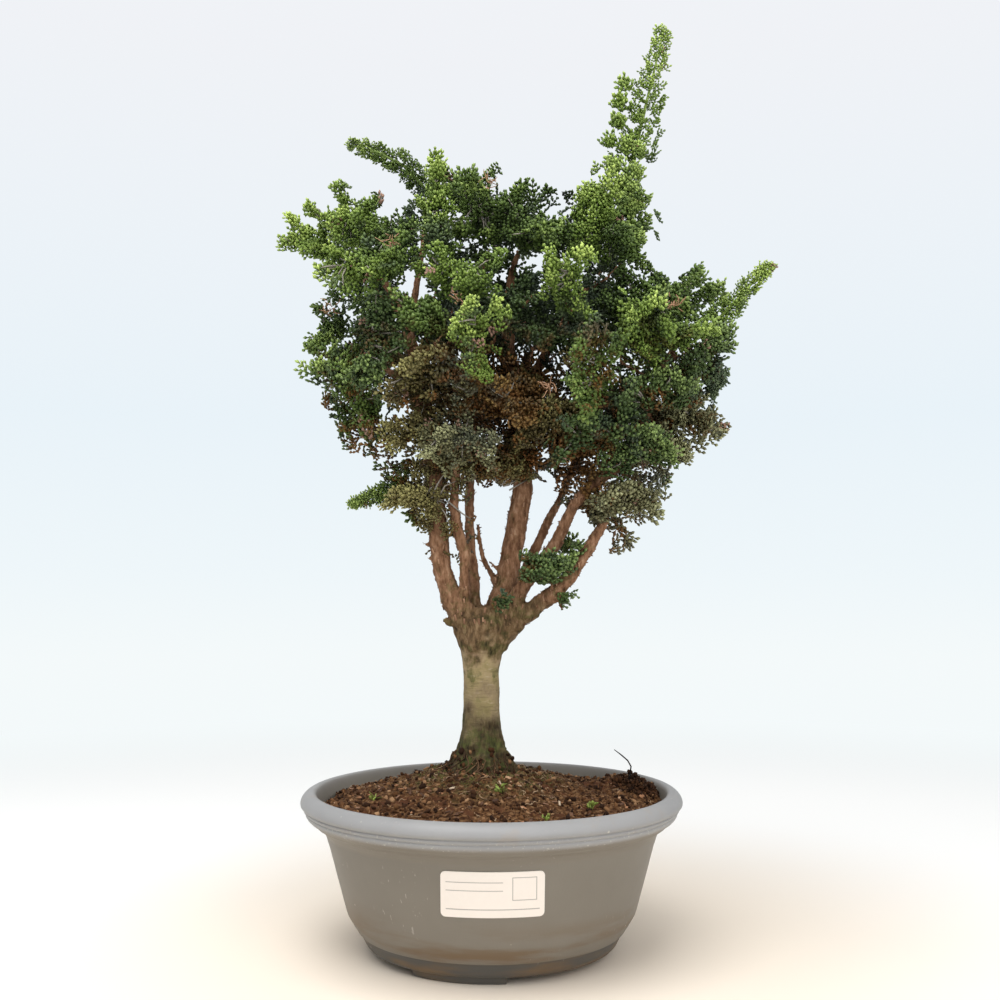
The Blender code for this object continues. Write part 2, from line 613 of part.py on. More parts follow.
def build_soil(rng):
    """The peat that fills the pot, with a plain hole for the trunk's foot."""
    inner_wall = (INNER_STEP, (0.0770, 0.0225), (0.0662, FLOOR_TOP))
    inner_slope = (INNER_EDGE[0] - INNER_STEP[0]) / (INNER_EDGE[1] - INNER_STEP[1])
    rows = []
    turn = math.radians(-90.0)
    half = POT_SEGMENTS // 2
    hole = []
    for step in range(POT_SEGMENTS):
        angle = turn + math.tau * step / POT_SEGMENTS
        place = (math.degrees(angle) % 360.0) / (360.0 / TRUNK_SIDES)
        low = int(math.floor(place + 1e-6)) % TRUNK_SIDES
        share = place - math.floor(place + 1e-6)
        start = foot_corner(low, TRUNK_RINGS[0][1], 1.0, SOIL_HOLE_GAP)
        end = foot_corner((low + 1) % TRUNK_SIDES, TRUNK_RINGS[0][1], 1.0, SOIL_HOLE_GAP)
        hole.append(start.lerp(end, max(share, 0.0)) + Vector((TRUNK_X, 0.0, 0.0)))
    rim = []
    for step in range(POT_SEGMENTS):
        angle = turn + math.tau * step / POT_SEGMENTS
        out = INNER_STEP[0] + (SOIL_RIM_HEIGHT - INNER_STEP[1]) * inner_slope - 0.0005
        rim.append(Vector((out * math.cos(angle), out * math.sin(angle), 0.0)))
    wave = [rng.uniform(-SOIL_BUMP, SOIL_BUMP) for _ in range(half)]

    def surface(point, share, step, row):
        base = SOIL_HOLE_HEIGHT + (SOIL_RIM_HEIGHT - SOIL_HOLE_HEIGHT) * share ** 0.75
        off = math.hypot(point.x - SOIL_HEAP[0], point.y - SOIL_HEAP[1])
        base += SOIL_HEAP[2] * math.exp(-((off / SOIL_HEAP[3]) ** 2))
        return base + wave[(step * 5 + row * 7) % half]

    rows.append([point + Vector((0.0, 0.0, 0.0610)) for point in hole])
    for row, share in enumerate((0.0, 0.14, 0.34, 0.56, 0.80, 1.0)):
        line = []
        for step in range(POT_SEGMENTS):
            point = hole[step].lerp(rim[step], share)
            line.append(point + Vector((0.0, 0.0, surface(point, share, step, row))))
        rows.append(line)
    for radius, z in inner_wall:
        lift = 0.0 if z > FLOOR_TOP else 0.0004
        line = []
        for step in range(POT_SEGMENTS):
            angle = turn + math.tau * step / POT_SEGMENTS
            out = radius - 0.0005
            line.append(Vector((out * math.cos(angle), out * math.sin(angle), z + lift)))
        rows.append(line)
    verts = [point for line in rows for point in line]
    faces = []
    for row in range(len(rows) - 1):
        for step in range(POT_SEGMENTS):
            following = (step + 1) % POT_SEGMENTS
            low = row * POT_SEGMENTS
            high = low + POT_SEGMENTS
            faces.append((low + step, low + following, high + following, high + step))
    faces.append(tuple(range(POT_SEGMENTS)))
    last = (len(rows) - 1) * POT_SEGMENTS
    faces.append(tuple(range(last, last + POT_SEGMENTS)))
    return new_object("soil", verts, faces, collection)


def trunk_shape():
    """Points and faces of the trunk with its root ridges."""
    verts = []
    for z, radius, gain, widen in TRUNK_RINGS:
        for step in range(TRUNK_SIDES):
            corner = foot_corner(step, radius, gain, 0.0)
            corner.x = corner.x * (1.0 + widen / radius) + TRUNK_X
            corner.z = z
            verts.append(corner)
    faces = []
    for row in range(len(TRUNK_RINGS) - 1):
        for step in range(TRUNK_SIDES):
            following = (step + 1) % TRUNK_SIDES
            low = row * TRUNK_SIDES
            high = low + TRUNK_SIDES
            faces.append((low + step, low + following, high + following, high + step))
    faces.append(tuple(range(TRUNK_SIDES)))
    last = (len(TRUNK_RINGS) - 1) * TRUNK_SIDES
    faces.append(tuple(range(last, last + TRUNK_SIDES)))
    return verts, faces


class Shape:
    """A closed shape kept with its owner's name, so that crossings can be tested."""

    def __init__(self, owner, verts, faces):
        self.owner = owner
        self.tree = BVHTree.FromPolygons([tuple(v) for v in verts], faces)
        self.middle = sum(verts, Vector()) / len(verts)
        self.reach = max((v - self.middle).length for v in verts)

    def crosses(self, other):
        """Whether this shape's surface crosses the other's."""
        if (self.middle - other.middle).length > self.reach + other.reach:
            return False
        return bool(self.tree.overlap(other.tree))


def bend(start, middle, end, share):
    """A point of the curve through start and end that leans towards middle."""
    return start.lerp(middle, share).lerp(middle.lerp(end, share), share)


class Spray:
    """One spray: a lobed inner body with whorls of thin arched fans."""

    def __init__(self, name, limb, base, tip, reach, whorls, bow, colour):
        self.name = name
        self.limb = limb
        self.base = seen(*base)
        self.tip = seen(*tip)
        self.reach = reach * MM if name in SLIM else reach * MM * FULLNESS
        self.whorls = whorls
        self.bow = bow * MM
        self.colour = colour
        self.slim = name in SLIM
        self.inner = STEM_RADIUS if self.slim else self.reach * 0.60
        self.sides = STEM_SIDES if self.slim else CORE_SIDES
        self.set_stop()
        self.rings = None
        self.apex = None
        self.fans = {}

    def set_stop(self):
        """Where the inner body ends, short of the tip by the end fans' reach."""
        length = (self.tip - self.base).length
        self.stop = self.base.lerp(self.tip, max(0.5, 1.0 - 0.60 * self.reach / length))
        self.mid = self.base.lerp(self.stop, 0.5) + Vector((0.0, 0.0, 2.0 * self.bow))

    def point(self, share):
        """A point of the spray's axis."""
        return bend(self.base, self.mid, self.stop, share)

    def start_direction(self):
        """The way the spray leaves its twig."""
        return (self.mid - self.base).normalized()

    def length(self):
        """Length of the inner body."""
        return (self.stop - self.base).length


def core_rings(spray, scale, grow):
    """The rings of the inner body and its apex. Each whorl has a low and a high ring."""
    rng = random.Random("core " + spray.name)
    count = len(spray.whorls)
    places = [(spray.base + spray.start_direction() * SEAT_GAP, 0.0)]
    for number in range(count):
        share = 0.30 + 0.58 * number / max(count - 1, 1)
        if spray.slim:
            share = 0.14 + 0.70 * number / max(count - 1, 1)
        places.append((spray.point(share), share))
    places.append((spray.point(1.0), 1.0))
    points = [place for place, _ in places]
    path_frames = frames([points[0] - spray.start_direction()] + points)[1:]
    rings = []
    for row, ((place, share), (along, side, across)) in enumerate(zip(places, path_frames)):
        if row == 0:
            radius = CORE_BASE_RADIUS
        elif spray.slim:
            radius = STEM_RADIUS * (1.15 - 0.45 * share)
        else:
            bulge = 1.0 - 0.5 * (share - 0.5) ** 2
            radius = spray.inner * scale * bulge
        if row == len(places) - 1:
            if not spray.slim:
                apex = place + along * (0.25 * spray.inner * scale + grow)
                return rings, [apex], path_frames
            corners = ((1.0, 1.0), (-1.0, 1.0), (-1.0, -1.0), (1.0, -1.0))
            half_thick = BLADE_THICKNESS / 2.0 + grow
            half_width = STEM_RADIUS * 0.7 + grow
            rings.append([place + side * (a * half_width) + across * (b * half_thick) for a, b in corners])
            return rings, [], path_frames
        wobble = [1.0] * spray.sides
        if row > 0 and not spray.slim:
            wobble = [rng.uniform(0.70, 1.16) for _ in range(spray.sides)]
        lifts = (0.0,) if row == 0 else (0.0, BLADE_THICKNESS)
        for lift in lifts:
            ring = []
            for step in range(spray.sides):
                angle = math.tau * (step + 0.5) / spray.sides
                out = radius * wobble[step] + grow
                corner = place + side * (math.cos(angle) * out) + across * (math.sin(angle) * out)
                ring.append(corner + along * (lift + grow * (2.0 * lift / BLADE_THICKNESS - 1.0) * (row > 0)))
            rings.append(ring)
    return rings, [], path_frames


def core_faces(spray, rings, apex, skip=()):
    """Faces of the inner body over its rings, leaving out the slots in skip."""
    sides = spray.sides
    faces = [tuple(range(sides - 1, -1, -1))]
    for row in range(len(rings) - 1):
        for step in range(sides):
            if (row, step) in skip:
                continue
            following = (step + 1) % sides
            low = row * sides
            faces.append((low + step, low + following, low + sides + following))
            faces.append((low + step, low + sides + following, low + sides + step))
    last = (len(rings) - 1) * sides
    if apex:
        for step in range(sides):
            faces.append((last + step, last + (step + 1) % sides, last + sides))
    elif ("end", 0) not in skip:
        faces.append(tuple(range(last, last + sides)))
    return faces


def core_shape(spray, scale, grow):
    """Points and faces of the closed inner body."""
    rings, apex, _ = core_rings(spray, scale, grow)
    verts = [corner for ring in rings for corner in ring] + apex
    return verts, core_faces(spray, rings, apex)


def slot_frame(corners):
    """Middle, outward, across and up of a slot given as low left, low right, high right, high left."""
    low_left, low_right, high_right, high_left = corners
    middle = sum(corners, Vector()) / 4.0
    across = (low_right - low_left).normalized()
    up = ((high_left - low_left) + (high_right - low_right)).normalized()
    up = (up - across * up.dot(across)).normalized()
    return middle, across.cross(up), across, up, (low_right - low_left).length


def fan_outline(slot, form, grow, start):
    """Top and bottom points round a fan: left root, lobes and notches, right root."""
    length, spread, lobes, tilt, curl, droop, twist = form
    middle, outward, across, up, width = slot_frame(slot)
    behind = width / 2.0 / math.tan(spread)
    half_thick = BLADE_THICKNESS / 2.0 + grow
    marks = [(-spread, (behind + start) / math.cos(spread))]
    reach = behind + length + grow
    for lobe in range(lobes):
        angle = spread * (2.0 * lobe / (lobes - 1) - 1.0)
        out = reach - 0.20 * length * (angle / spread) ** 2
        half = (LOBE_HALF_WIDTH * length + grow) / out
        if 0 < lobe < lobes - 1:
            marks.append((angle - half, out))
            marks.append((angle + half, out))
        else:
            marks.append((angle, out))
        if lobe < lobes - 1:
            marks.append((angle + spread / (lobes - 1), behind + length * NOTCH_DEPTH + grow))
    marks.append((spread, (behind + start) / math.cos(spread)))
    top = []
    bottom = []
    for angle, out in marks:
        x = out * math.cos(angle) - behind
        v = out * math.sin(angle)
        share = x / length
        slope = tilt + curl * share
        middle_slope = tilt + curl * share / 2.0
        place = middle + outward * (x * math.cos(middle_slope)) + across * v
        place = place + up * (x * math.sin(middle_slope))
        normal = up * math.cos(slope) - outward * math.sin(slope)
        sag = droop * length * (v / length) ** 2 - twist * v * share
        place = place - normal * sag
        normal = (normal - across * twist * share).normalized()
        top.append(place + normal * half_thick)
        bottom.append(place - normal * half_thick)
    return top, bottom


def fan_faces(lobes, top, bottom):
    """Faces of a fan over the point numbers round its top and bottom, open at the root."""
    last = len(top) - 1
    triangles = []
    notches = []
    before = 0
    for lobe in range(lobes):
        left = before + 1
        if 0 < lobe < lobes - 1:
            after = left + 2
            triangles.append((before, left, left + 1))
            triangles.append((before, left + 1, after))
        else:
            after = left + 1
            triangles.append((before, left, after))
        if lobe < lobes - 1:
            notches.append(after)
        before = after
    half = len(notches) // 2
    for index in range(len(notches) - 1):
        anchor = 0 if index < half else last
        triangles.append((anchor, notches[index], notches[index + 1]))
    triangles.append((0, notches[half], last))
    faces = []
    for a, b, c in triangles:
        faces.append((top[a], top[b], top[c]))
        faces.append((bottom[a], bottom[c], bottom[b]))
    for index in range(last):
        faces.append((top[index], bottom[index], bottom[index + 1]))
        faces.append((top[index], bottom[index + 1], top[index + 1]))
    return faces


def fan_trial(owner, slot, form, grow, start):
    """A closed, slightly swollen fan for the crossing tests."""
    top, bottom = fan_outline(slot, form, grow, start)
    verts = top + bottom
    count = len(top)
    faces = fan_faces(form[2], list(range(count)), list(range(count, 2 * count)))
    faces.append((0, count - 1, 2 * count - 1))
    faces.append((0, 2 * count - 1, count))
    return Shape(owner, verts, faces)


def limb_points(name):
    """The real points and radii of a limb."""
    rows = LIMBS[name]
    return [seen(x, z, y) for x, z, y, _ in rows], [row[3] * MM for row in rows]


def twig_path(spray):
    """Points from the limb to the spray's base, and their radii."""
    points, _ = limb_points(spray.limb)
    behind = spray.base - spray.start_direction() * 0.35 * (spray.tip - spray.base).length
    best = None
    for index in range(len(points) - 1):
        for share in (0.0, 0.25, 0.5, 0.75, 1.0):
            spot = points[index].lerp(points[index + 1], share)
            distance = (spot - behind).length + 0.4 * max(spot.z - behind.z, 0.0)
            if best is None or distance < best[0]:
                best = (distance, spot)
    foot = best[1]
    span = (spray.base - foot).length
    middle = spray.base - spray.start_direction() * 0.45 * span
    shares = (0.0, 0.55, 1.0)
    path = [bend(foot, middle, spray.base, share) for share in shares]
    widths = [TWIG_RADIUS * (1.35 - 0.35 * share) for share in shares]
    return path, widths


def place_core(spray, shapes):
    """Shrink the spray's core until it is clear of everything placed so far."""
    for scale in (1.0, 0.9, 0.8, 0.7, 0.6, 0.5, 0.4):
        trial = Shape(spray.name, *core_shape(spray, scale, CLEARANCE))
        hits = {s.owner for s in shapes if s.owner != spray.name and trial.crosses(s)}
        if not hits or spray.slim:
            break
    spray.rings, spray.apex, _ = core_rings(spray, scale, 0.0)
    spray.core = Shape(spray.name, *core_shape(spray, scale, 0.0001))
    shapes.append(trial)


def slots_of(spray):
    """The slots that get fans: (place, corners, share along the spray)."""
    result = []
    count = len(spray.whorls)
    for number, fans in enumerate(spray.whorls):
        row = 1 + 2 * number
        for fan in range(fans):
            if spray.slim:
                step = (number + 2 * fan) % spray.sides
            elif fans == 2:
                step = (2 * number + 3 * fan) % spray.sides
            else:
                step = (number + 2 * fan) % spray.sides
            following = (step + 1) % spray.sides
            low = spray.rings[row]
            high = spray.rings[row + 1]
            corners = (low[step], low[following], high[following], high[step])
            result.append(((row, step), corners, (number + 1.0) / count))
    if spray.slim:
        end = spray.rings[-1]
        result.append((("end", 0), (end[2], end[3], end[0], end[1]), 1.0))
    return result


def place_fan(spray, place, slot, share, rng, shapes, own_twig):
    """Try seeded forms for one fan until it is clear of the rest."""
    for attempt in range(60):
        shrink = 1.0 - 0.58 * attempt / 60.0
        if place[0] == "end":
            tilt = rng.uniform(-0.25, 0.25)
            curl = rng.uniform(-0.3, 0.3)
            length = spray.reach * 0.85 * shrink
        elif spray.slim:
            tilt = rng.uniform(0.35, 0.75)
            curl = rng.uniform(-0.1, 0.5)
            length = spray.reach * (1.25 - 0.35 * share) * shrink
        else:
            tilt = rng.uniform(0.15, 0.55) + 0.55 * (share - 0.5)
            curl = rng.uniform(0.1, 0.7)
            length = spray.reach * rng.uniform(0.90, 1.05) * shrink
        lobes = 3 if length < 0.0090 else 4
        spread = math.radians(rng.uniform(30.0, 40.0) if lobes == 3 else rng.uniform(40.0, 50.0))
        twist = rng.choice((-1.0, 1.0)) * (rng.uniform(0.7, 1.1) if spray.slim else rng.uniform(0.1, 0.6))
        form = (length, spread, lobes, tilt, curl, rng.uniform(0.0, 0.3), twist)
        trial = fan_trial(spray.name, slot, form, CLEARANCE, 0.0)
        if any(trial.crosses(s) for s in shapes if s.owner != spray.name):
            continue
        if own_twig and trial.crosses(own_twig):
            continue
        clear = fan_trial(spray.name, slot, form, 0.0002, 0.22 * length)
        if clear.crosses(spray.core):
            continue
        if any(trial.crosses(other) for other, _ in spray.fans.values()):
            continue
        spray.fans[place] = (trial, (slot, form))
        shapes.append(trial)
        return


def spray_mesh(spray):
    """Points and faces of the whole spray: the inner body with the fans drawn out of its slots."""
    verts = [corner for ring in spray.rings for corner in ring] + spray.apex
    faces = core_faces(spray, spray.rings, spray.apex, spray.fans)
    for place, (_, (slot, form)) in spray.fans.items():
        top, bottom = fan_outline(slot, form, 0.0, 0.0)
        first = len(verts)
        inside = top[1:-1]
        verts.extend(inside)
        verts.extend(bottom[1:-1])
        if place[0] == "end":
            low = (len(spray.rings) - 1) * spray.sides
            low_left, low_right, high_right, high_left = low + 2, low + 3, low, low + 1
        else:
            row, step = place
            following = (step + 1) % spray.sides
            low_left = row * spray.sides + step
            low_right = row * spray.sides + following
            high_left = low_left + spray.sides
            high_right = low_right + spray.sides
        count = len(inside)
        top_numbers = [high_left] + list(range(first, first + count)) + [high_right]
        bottom_numbers = [low_left] + list(range(first + count, first + 2 * count)) + [low_right]
        faces.extend(fan_faces(form[2], top_numbers, bottom_numbers))
    return verts, faces


def build_tree_and_sprays():
    """The trunk, limbs and twigs as one body, and every spray as a body of its own."""
    rng = random.Random(SEED)
    sprays = [Spray(name, *row) for name, row in SPRAYS.items()]
    by_name = {spray.name: spray for spray in sprays}
    trunk_verts, trunk_faces = trunk_shape()
    tree = new_object("tree", trunk_verts, trunk_faces, collection)
    shapes = [Shape("trunk", trunk_verts, trunk_faces)]
    parts = []
    for name in LIMBS:
        points, radii = limb_points(name)
        verts, faces = tube(points, radii, LIMB_SIDES.get(name, LIMB_SIDES_OTHER), 0.3)
        shapes.append(Shape("limb " + name, verts, faces))
        parts.append(new_object("limb", verts, faces, cutters))
    for start, end, radius in STUBS:
        first = seen(*start)
        last = seen(*end)
        verts, faces = tube((first, last), (radius * MM * 1.3, radius * MM * 0.7), 4)
        shapes.append(Shape("stub", verts, faces))
        parts.append(new_object("stub", verts, faces, cutters))
    twigs = {}
    for spray in sprays:
        if spray.limb in by_name:
            continue
        path, widths = twig_path(spray)
        verts, faces = tube(path, widths, TWIG_SIDES, 0.5, spray.start_direction())
        twigs[spray.name] = Shape(spray.name, verts, faces)
        shapes.append(twigs[spray.name])
        parts.append(new_object("twig", verts, faces, cutters))
    join_all(tree, parts, "UNION", "MANIFOLD")
    keep_largest(tree)
    flatten(tree)
    for spray in sprays:
        if spray.limb in by_name:
            lower = by_name[spray.limb]
            spray.base = lower.apex[0] if lower.apex else lower.point(1.0)
            spray.set_stop()
        place_core(spray, shapes)
    waiting = [(spray, slots_of(spray)) for spray in sprays]
    for number in range(max(len(slots) for _, slots in waiting)):
        for spray, slots in waiting:
            if number < len(slots):
                place, slot, share = slots[-1 - number]
                place_fan(spray, place, slot, share, rng, shapes, twigs.get(spray.name))
    nodes = []
    for spray in sprays:
        node = new_object("spray_" + spray.name, *spray_mesh(spray), collection)
        node.data.materials.append(bpy.data.materials["leaf_" + spray.colour])
        nodes.append(node)
    return tree, nodes


def shade(target, smooth_angle):
    """Smooth shading with creases kept where faces meet sharply."""
    work = bmesh.new()
    work.from_mesh(target.data)
    for face in work.faces:
        face.smooth = True
    for edge in work.edges:
        if len(edge.link_faces) == 2:
            edge.smooth = edge.calc_face_angle(0.0) < smooth_angle
    work.to_mesh(target.data)
    work.free()


clear_scene()
for leaf_name, leaf_colour in LEAF_COLOURS.items():
    material("leaf_" + leaf_name, leaf_colour, 0.65)
pot_object = build_pot()
keep_largest(pot_object)
pot_object.data.materials.clear()
pot_object.data.materials.append(material("pot_plastic", (0.235, 0.230, 0.235), 0.45))
shade(pot_object, math.radians(35.0))
label_object = build_label()
label_object.data.materials.append(material("label_paper", (0.80, 0.80, 0.80), 0.50))
soil_object = build_soil(random.Random(7))
keep_largest(soil_object)
soil_object.data.materials.append(material("peat", (0.060, 0.035, 0.022), 0.95))
tree_object, spray_objects = build_tree_and_sprays()
tree_object.data.materials.clear()
tree_object.data.materials.append(material("bark", (0.215, 0.130, 0.080), 0.85))
shade(tree_object, math.radians(60.0))

every = [pot_object, label_object, soil_object, tree_object] + spray_objects
low = [min(v.co[axis] for o in every for v in o.data.vertices) for axis in range(3)]
high = [max(v.co[axis] for o in every for v in o.data.vertices) for axis in range(3)]
shift = Vector((-(low[0] + high[0]) / 2.0, -(low[1] + high[1]) / 2.0, -low[2]))
for piece in every:
    piece.data.transform(Matrix.Translation(shift))
    piece.data.update()
for piece in list(cutters.objects):
    bpy.data.objects.remove(piece, do_unlink=True)
bpy.data.collections.remove(cutters)
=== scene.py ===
"""A hinoki cypress bonsai in a round plastic bowl: the finished look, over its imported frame."""

import math

import bpy
import numpy as np
from mathutils import Euler, Matrix, Vector, noise
from mathutils.bvhtree import BVHTree


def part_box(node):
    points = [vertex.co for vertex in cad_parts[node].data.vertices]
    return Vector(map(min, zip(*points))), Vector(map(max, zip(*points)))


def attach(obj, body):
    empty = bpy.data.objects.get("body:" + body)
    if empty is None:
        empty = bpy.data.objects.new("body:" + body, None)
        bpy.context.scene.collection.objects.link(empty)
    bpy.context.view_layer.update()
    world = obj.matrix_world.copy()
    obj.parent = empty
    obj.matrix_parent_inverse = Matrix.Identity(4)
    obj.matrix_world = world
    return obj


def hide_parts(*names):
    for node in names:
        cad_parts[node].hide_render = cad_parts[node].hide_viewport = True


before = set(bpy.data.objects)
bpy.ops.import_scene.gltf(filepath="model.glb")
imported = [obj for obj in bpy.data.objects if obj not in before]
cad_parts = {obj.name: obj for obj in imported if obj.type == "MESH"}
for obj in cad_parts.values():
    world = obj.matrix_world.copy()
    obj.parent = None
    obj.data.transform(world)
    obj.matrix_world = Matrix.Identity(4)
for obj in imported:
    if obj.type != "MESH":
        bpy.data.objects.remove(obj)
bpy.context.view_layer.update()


# Studio
# A pale table runs out into a pale backdrop on every side. A broad soft lamp hangs
# overhead and a weak one stands in front. The camera looks slightly upward.

POT_LOW, POT_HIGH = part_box("pot")
POT_X = (POT_LOW.x + POT_HIGH.x) / 2
CAMERA_PLACE = (POT_X + 0.0046, -0.677, 0.199)
CAMERA_TILT = math.radians(94.0)
CAMERA_LENS = 43.2
TABLE_RADIUS = 1.3
BACKDROP_RADIUS = 3.2
BACKDROP_HEIGHT = 3.4
DAYLIGHT = (0.96, 0.98, 1.0, 1.0)
DAYLIGHT_STRENGTH = 0.64
LAMPS = (
    ("lamp_above", (-0.25, -0.45, 1.45), (0.0, 0.0, 0.25), 1.1, 17.5),
    ("lamp_front", (0.55, -1.30, 0.75), (0.0, 0.0, 0.25), 0.9, 7.0),
)


def add(kind, name, **place):
    """Adds one primitive, alone in the selection, so that operators act on it only."""
    bpy.ops.object.select_all(action="DESELECT")
    getattr(bpy.ops.mesh, "primitive_" + kind + "_add")(**place)
    piece = bpy.context.object
    piece.name = name
    return piece


def pick(piece):
    """Makes a piece the only selected one."""
    bpy.ops.object.select_all(action="DESELECT")
    piece.select_set(True)
    bpy.context.view_layer.objects.active = piece
    return piece


def turned(name, profile, steps, axis_x=0.0, angle=2 * math.pi, start=0.0):
    """Draws a line of (radius, height) points and spins it round an upright axis."""
    piece = add("plane", name, size=0.002)
    bpy.ops.object.mode_set(mode="EDIT")
    bpy.ops.mesh.select_all(action="SELECT")
    bpy.ops.mesh.merge(type="CENTER")
    across = Vector((math.cos(start), math.sin(start), 0.0))
    points = [across * radius + Vector((axis_x, 0.0, height)) for radius, height in profile]
    bpy.ops.transform.translate(value=points[0])
    for one, two in zip(points, points[1:]):
        bpy.ops.mesh.extrude_region_move(TRANSFORM_OT_translate={"value": two - one})
    bpy.ops.mesh.select_all(action="SELECT")
    bpy.ops.mesh.spin(steps=steps, angle=angle, center=(axis_x, 0.0, 0.0), axis=(0.0, 0.0, 1.0))
    bpy.ops.mesh.select_all(action="SELECT")
    bpy.ops.mesh.remove_doubles(threshold=0.00001)
    bpy.ops.mesh.normals_make_consistent(inside=False)
    bpy.ops.object.mode_set(mode="OBJECT")
    return piece


class Nodes:
    """The nodes of one material, or of one group that several materials share."""

    def __init__(self, name, inputs=None, outputs=()):
        if inputs is None:
            self.material = bpy.data.materials.new(name)
            self.material.use_nodes = True
            self.tree = self.material.node_tree
            self.tree.nodes.clear()
            self.out = self.add("ShaderNodeOutputMaterial")
            return
        self.tree = bpy.data.node_groups.new(name, "ShaderNodeTree")
        for key, kind in inputs.items():
            self.tree.interface.new_socket(key, in_out="INPUT", socket_type="NodeSocket" + kind)
        for key, kind in outputs.items():
            self.tree.interface.new_socket(key, in_out="OUTPUT", socket_type="NodeSocket" + kind)
        self.given = self.add("NodeGroupInput").outputs
        self.result = self.add("NodeGroupOutput").inputs

    def shared(self, group, **values):
        """Adds a shared group, gives it its inputs and returns its outputs."""
        node = self.add("ShaderNodeGroup", node_tree=group.tree)
        for key, value in values.items():
            self.set(node.inputs[key], value)
        return node.outputs

    def add(self, kind, **settings):
        node = self.tree.nodes.new(kind)
        for key, value in settings.items():
            setattr(node, key, value)
        return node

    def set(self, socket, value):
        """Joins a socket to another, or gives it a plain value."""
        if isinstance(value, bpy.types.NodeSocket):
            self.tree.links.new(value, socket)
        else:
            socket.default_value = value

    def math(self, operation, a, b=0.0, c=0.0, clamp=False):
        node = self.add("ShaderNodeMath", operation=operation, use_clamp=clamp)
        for socket, value in zip(node.inputs, (a, b, c)):
            self.set(socket, value)
        return node.outputs[0]

    def ramp(self, value, stops, smooth=False):
        node = self.add("ShaderNodeValToRGB")
        node.color_ramp.interpolation = "EASE" if smooth else "LINEAR"
        marks = node.color_ramp.elements
        while len(marks) < len(stops):
            marks.new(0.5)
        for mark, (place, colour) in zip(marks, stops):
            mark.position = place
            mark.color = colour if len(colour) == 4 else (*colour, 1.0)
        self.set(node.inputs[0], value)
        return node.outputs[0]

    def rise(self, value, low, high):
        """0 below low, 1 above high, smooth between."""
        node = self.add("ShaderNodeMapRange", interpolation_type="SMOOTHSTEP")
        for socket, given in zip(node.inputs, (value, low, high, 0.0, 1.0)):
            self.set(socket, given)
        return node.outputs[0]

    def mix(self, share, a, b, blend="MIX"):
        node = self.add("ShaderNodeMix", data_type="RGBA", blend_type=blend)
        self.set(node.inputs[0], share)
        self.set(node.inputs[6], a)
        self.set(node.inputs[7], b)
        return node.outputs[2]

    def place(self, centre=(0.0, 0.0, 0.0), scale=(1.0, 1.0, 1.0)):
        """Object coordinates from a centre, stretched along each axis."""
        source = self.add("ShaderNodeTexCoord")
        shift = self.add("ShaderNodeMapping")
        shift.inputs["Location"].default_value = [-c * s for c, s in zip(centre, scale)]
        shift.inputs["Scale"].default_value = scale
        self.set(shift.inputs[0], source.outputs["Object"])
        return shift.outputs[0]

    def noise(self, where, scale, detail=4.0, roughness=0.55):
        node = self.add("ShaderNodeTexNoise")
        self.set(node.inputs["Vector"], where)
        node.inputs["Scale"].default_value = scale
        node.inputs["Detail"].default_value = detail
        node.inputs["Roughness"].default_value = roughness
        return node.outputs[0]

    def bump(self, height, strength, depth, under=None):
        node = self.add("ShaderNodeBump")
        node.inputs["Strength"].default_value = strength
        node.inputs["Distance"].default_value = depth
        self.set(node.inputs["Height"], height)
        if under is not None:
            self.set(node.inputs["Normal"], under)
        return node.outputs[0]

    def surface(self, colour, roughness, normal=None, **plain):
        shader = self.add("ShaderNodeBsdfPrincipled")
        self.set(shader.inputs["Base Color"], colour)
        self.set(shader.inputs["Roughness"], roughness)
        if normal is not None:
            self.set(shader.inputs["Normal"], normal)
        for key, value in plain.items():
            shader.inputs[key.replace("_", " ")].default_value = value
        self.set(self.out.inputs[0], shader.outputs[0])
        return self.material


def split_place(nodes, where):
    parts = nodes.add("ShaderNodeSeparateXYZ")
    nodes.set(parts.inputs[0], where)
    return parts.outputs


floor = add("circle", "floor", vertices=96, radius=TABLE_RADIUS, fill_type="NGON")
bpy.ops.object.mode_set(mode="EDIT")
bpy.ops.mesh.select_all(action="SELECT")
bpy.ops.mesh.inset(thickness=TABLE_RADIUS * 0.6)
bpy.ops.mesh.inset(thickness=TABLE_RADIUS * 0.25)
bpy.ops.object.mode_set(mode="OBJECT")
backdrop = turned(
    "backdrop",
    [(TABLE_RADIUS - 0.01, -0.0005), (BACKDROP_RADIUS - 0.5, -0.0005)]
    + [
        (
            BACKDROP_RADIUS - 0.5 + 0.5 * math.sin(math.radians(turn)),
            0.5 - 0.5 * math.cos(math.radians(turn)),
        )
        for turn in range(10, 91, 10)
    ]
    + [(BACKDROP_RADIUS, BACKDROP_HEIGHT), (0.0, BACKDROP_HEIGHT)],
    64,
)
bpy.ops.object.shade_smooth()
for flag in ("diffuse", "glossy", "transmission", "shadow"):
    setattr(backdrop, "visible_" + flag, False)

table = Nodes("table_top")
spread = split_place(table, table.place())
from_pot = table.math("SQRT", table.math("ADD", table.math("POWER", spread[0], 2.0), table.math("POWER", spread[1], 2.0)))
# Painted warm light: the table is tinted peach round the pot, fading to near white farther out.
near = table.rise(from_pot, 0.10, 0.42)
board = table.add("ShaderNodeBsdfDiffuse")
table.set(board.inputs[0], table.mix(near, (0.90, 0.80, 0.68, 1.0), (0.92, 0.91, 0.89, 1.0)))
glow = table.add("ShaderNodeEmission")
glow.inputs[0].default_value = (0.905, 0.950, 0.958, 1.0)
blend = table.add("ShaderNodeMixShader")
table.set(blend.inputs[0], table.rise(from_pot, 0.35, 1.15))
table.set(blend.inputs[1], board.outputs[0])
table.set(blend.inputs[2], glow.outputs[0])
table.set(table.out.inputs[0], blend.outputs[0])
floor.data.materials.append(table.material)

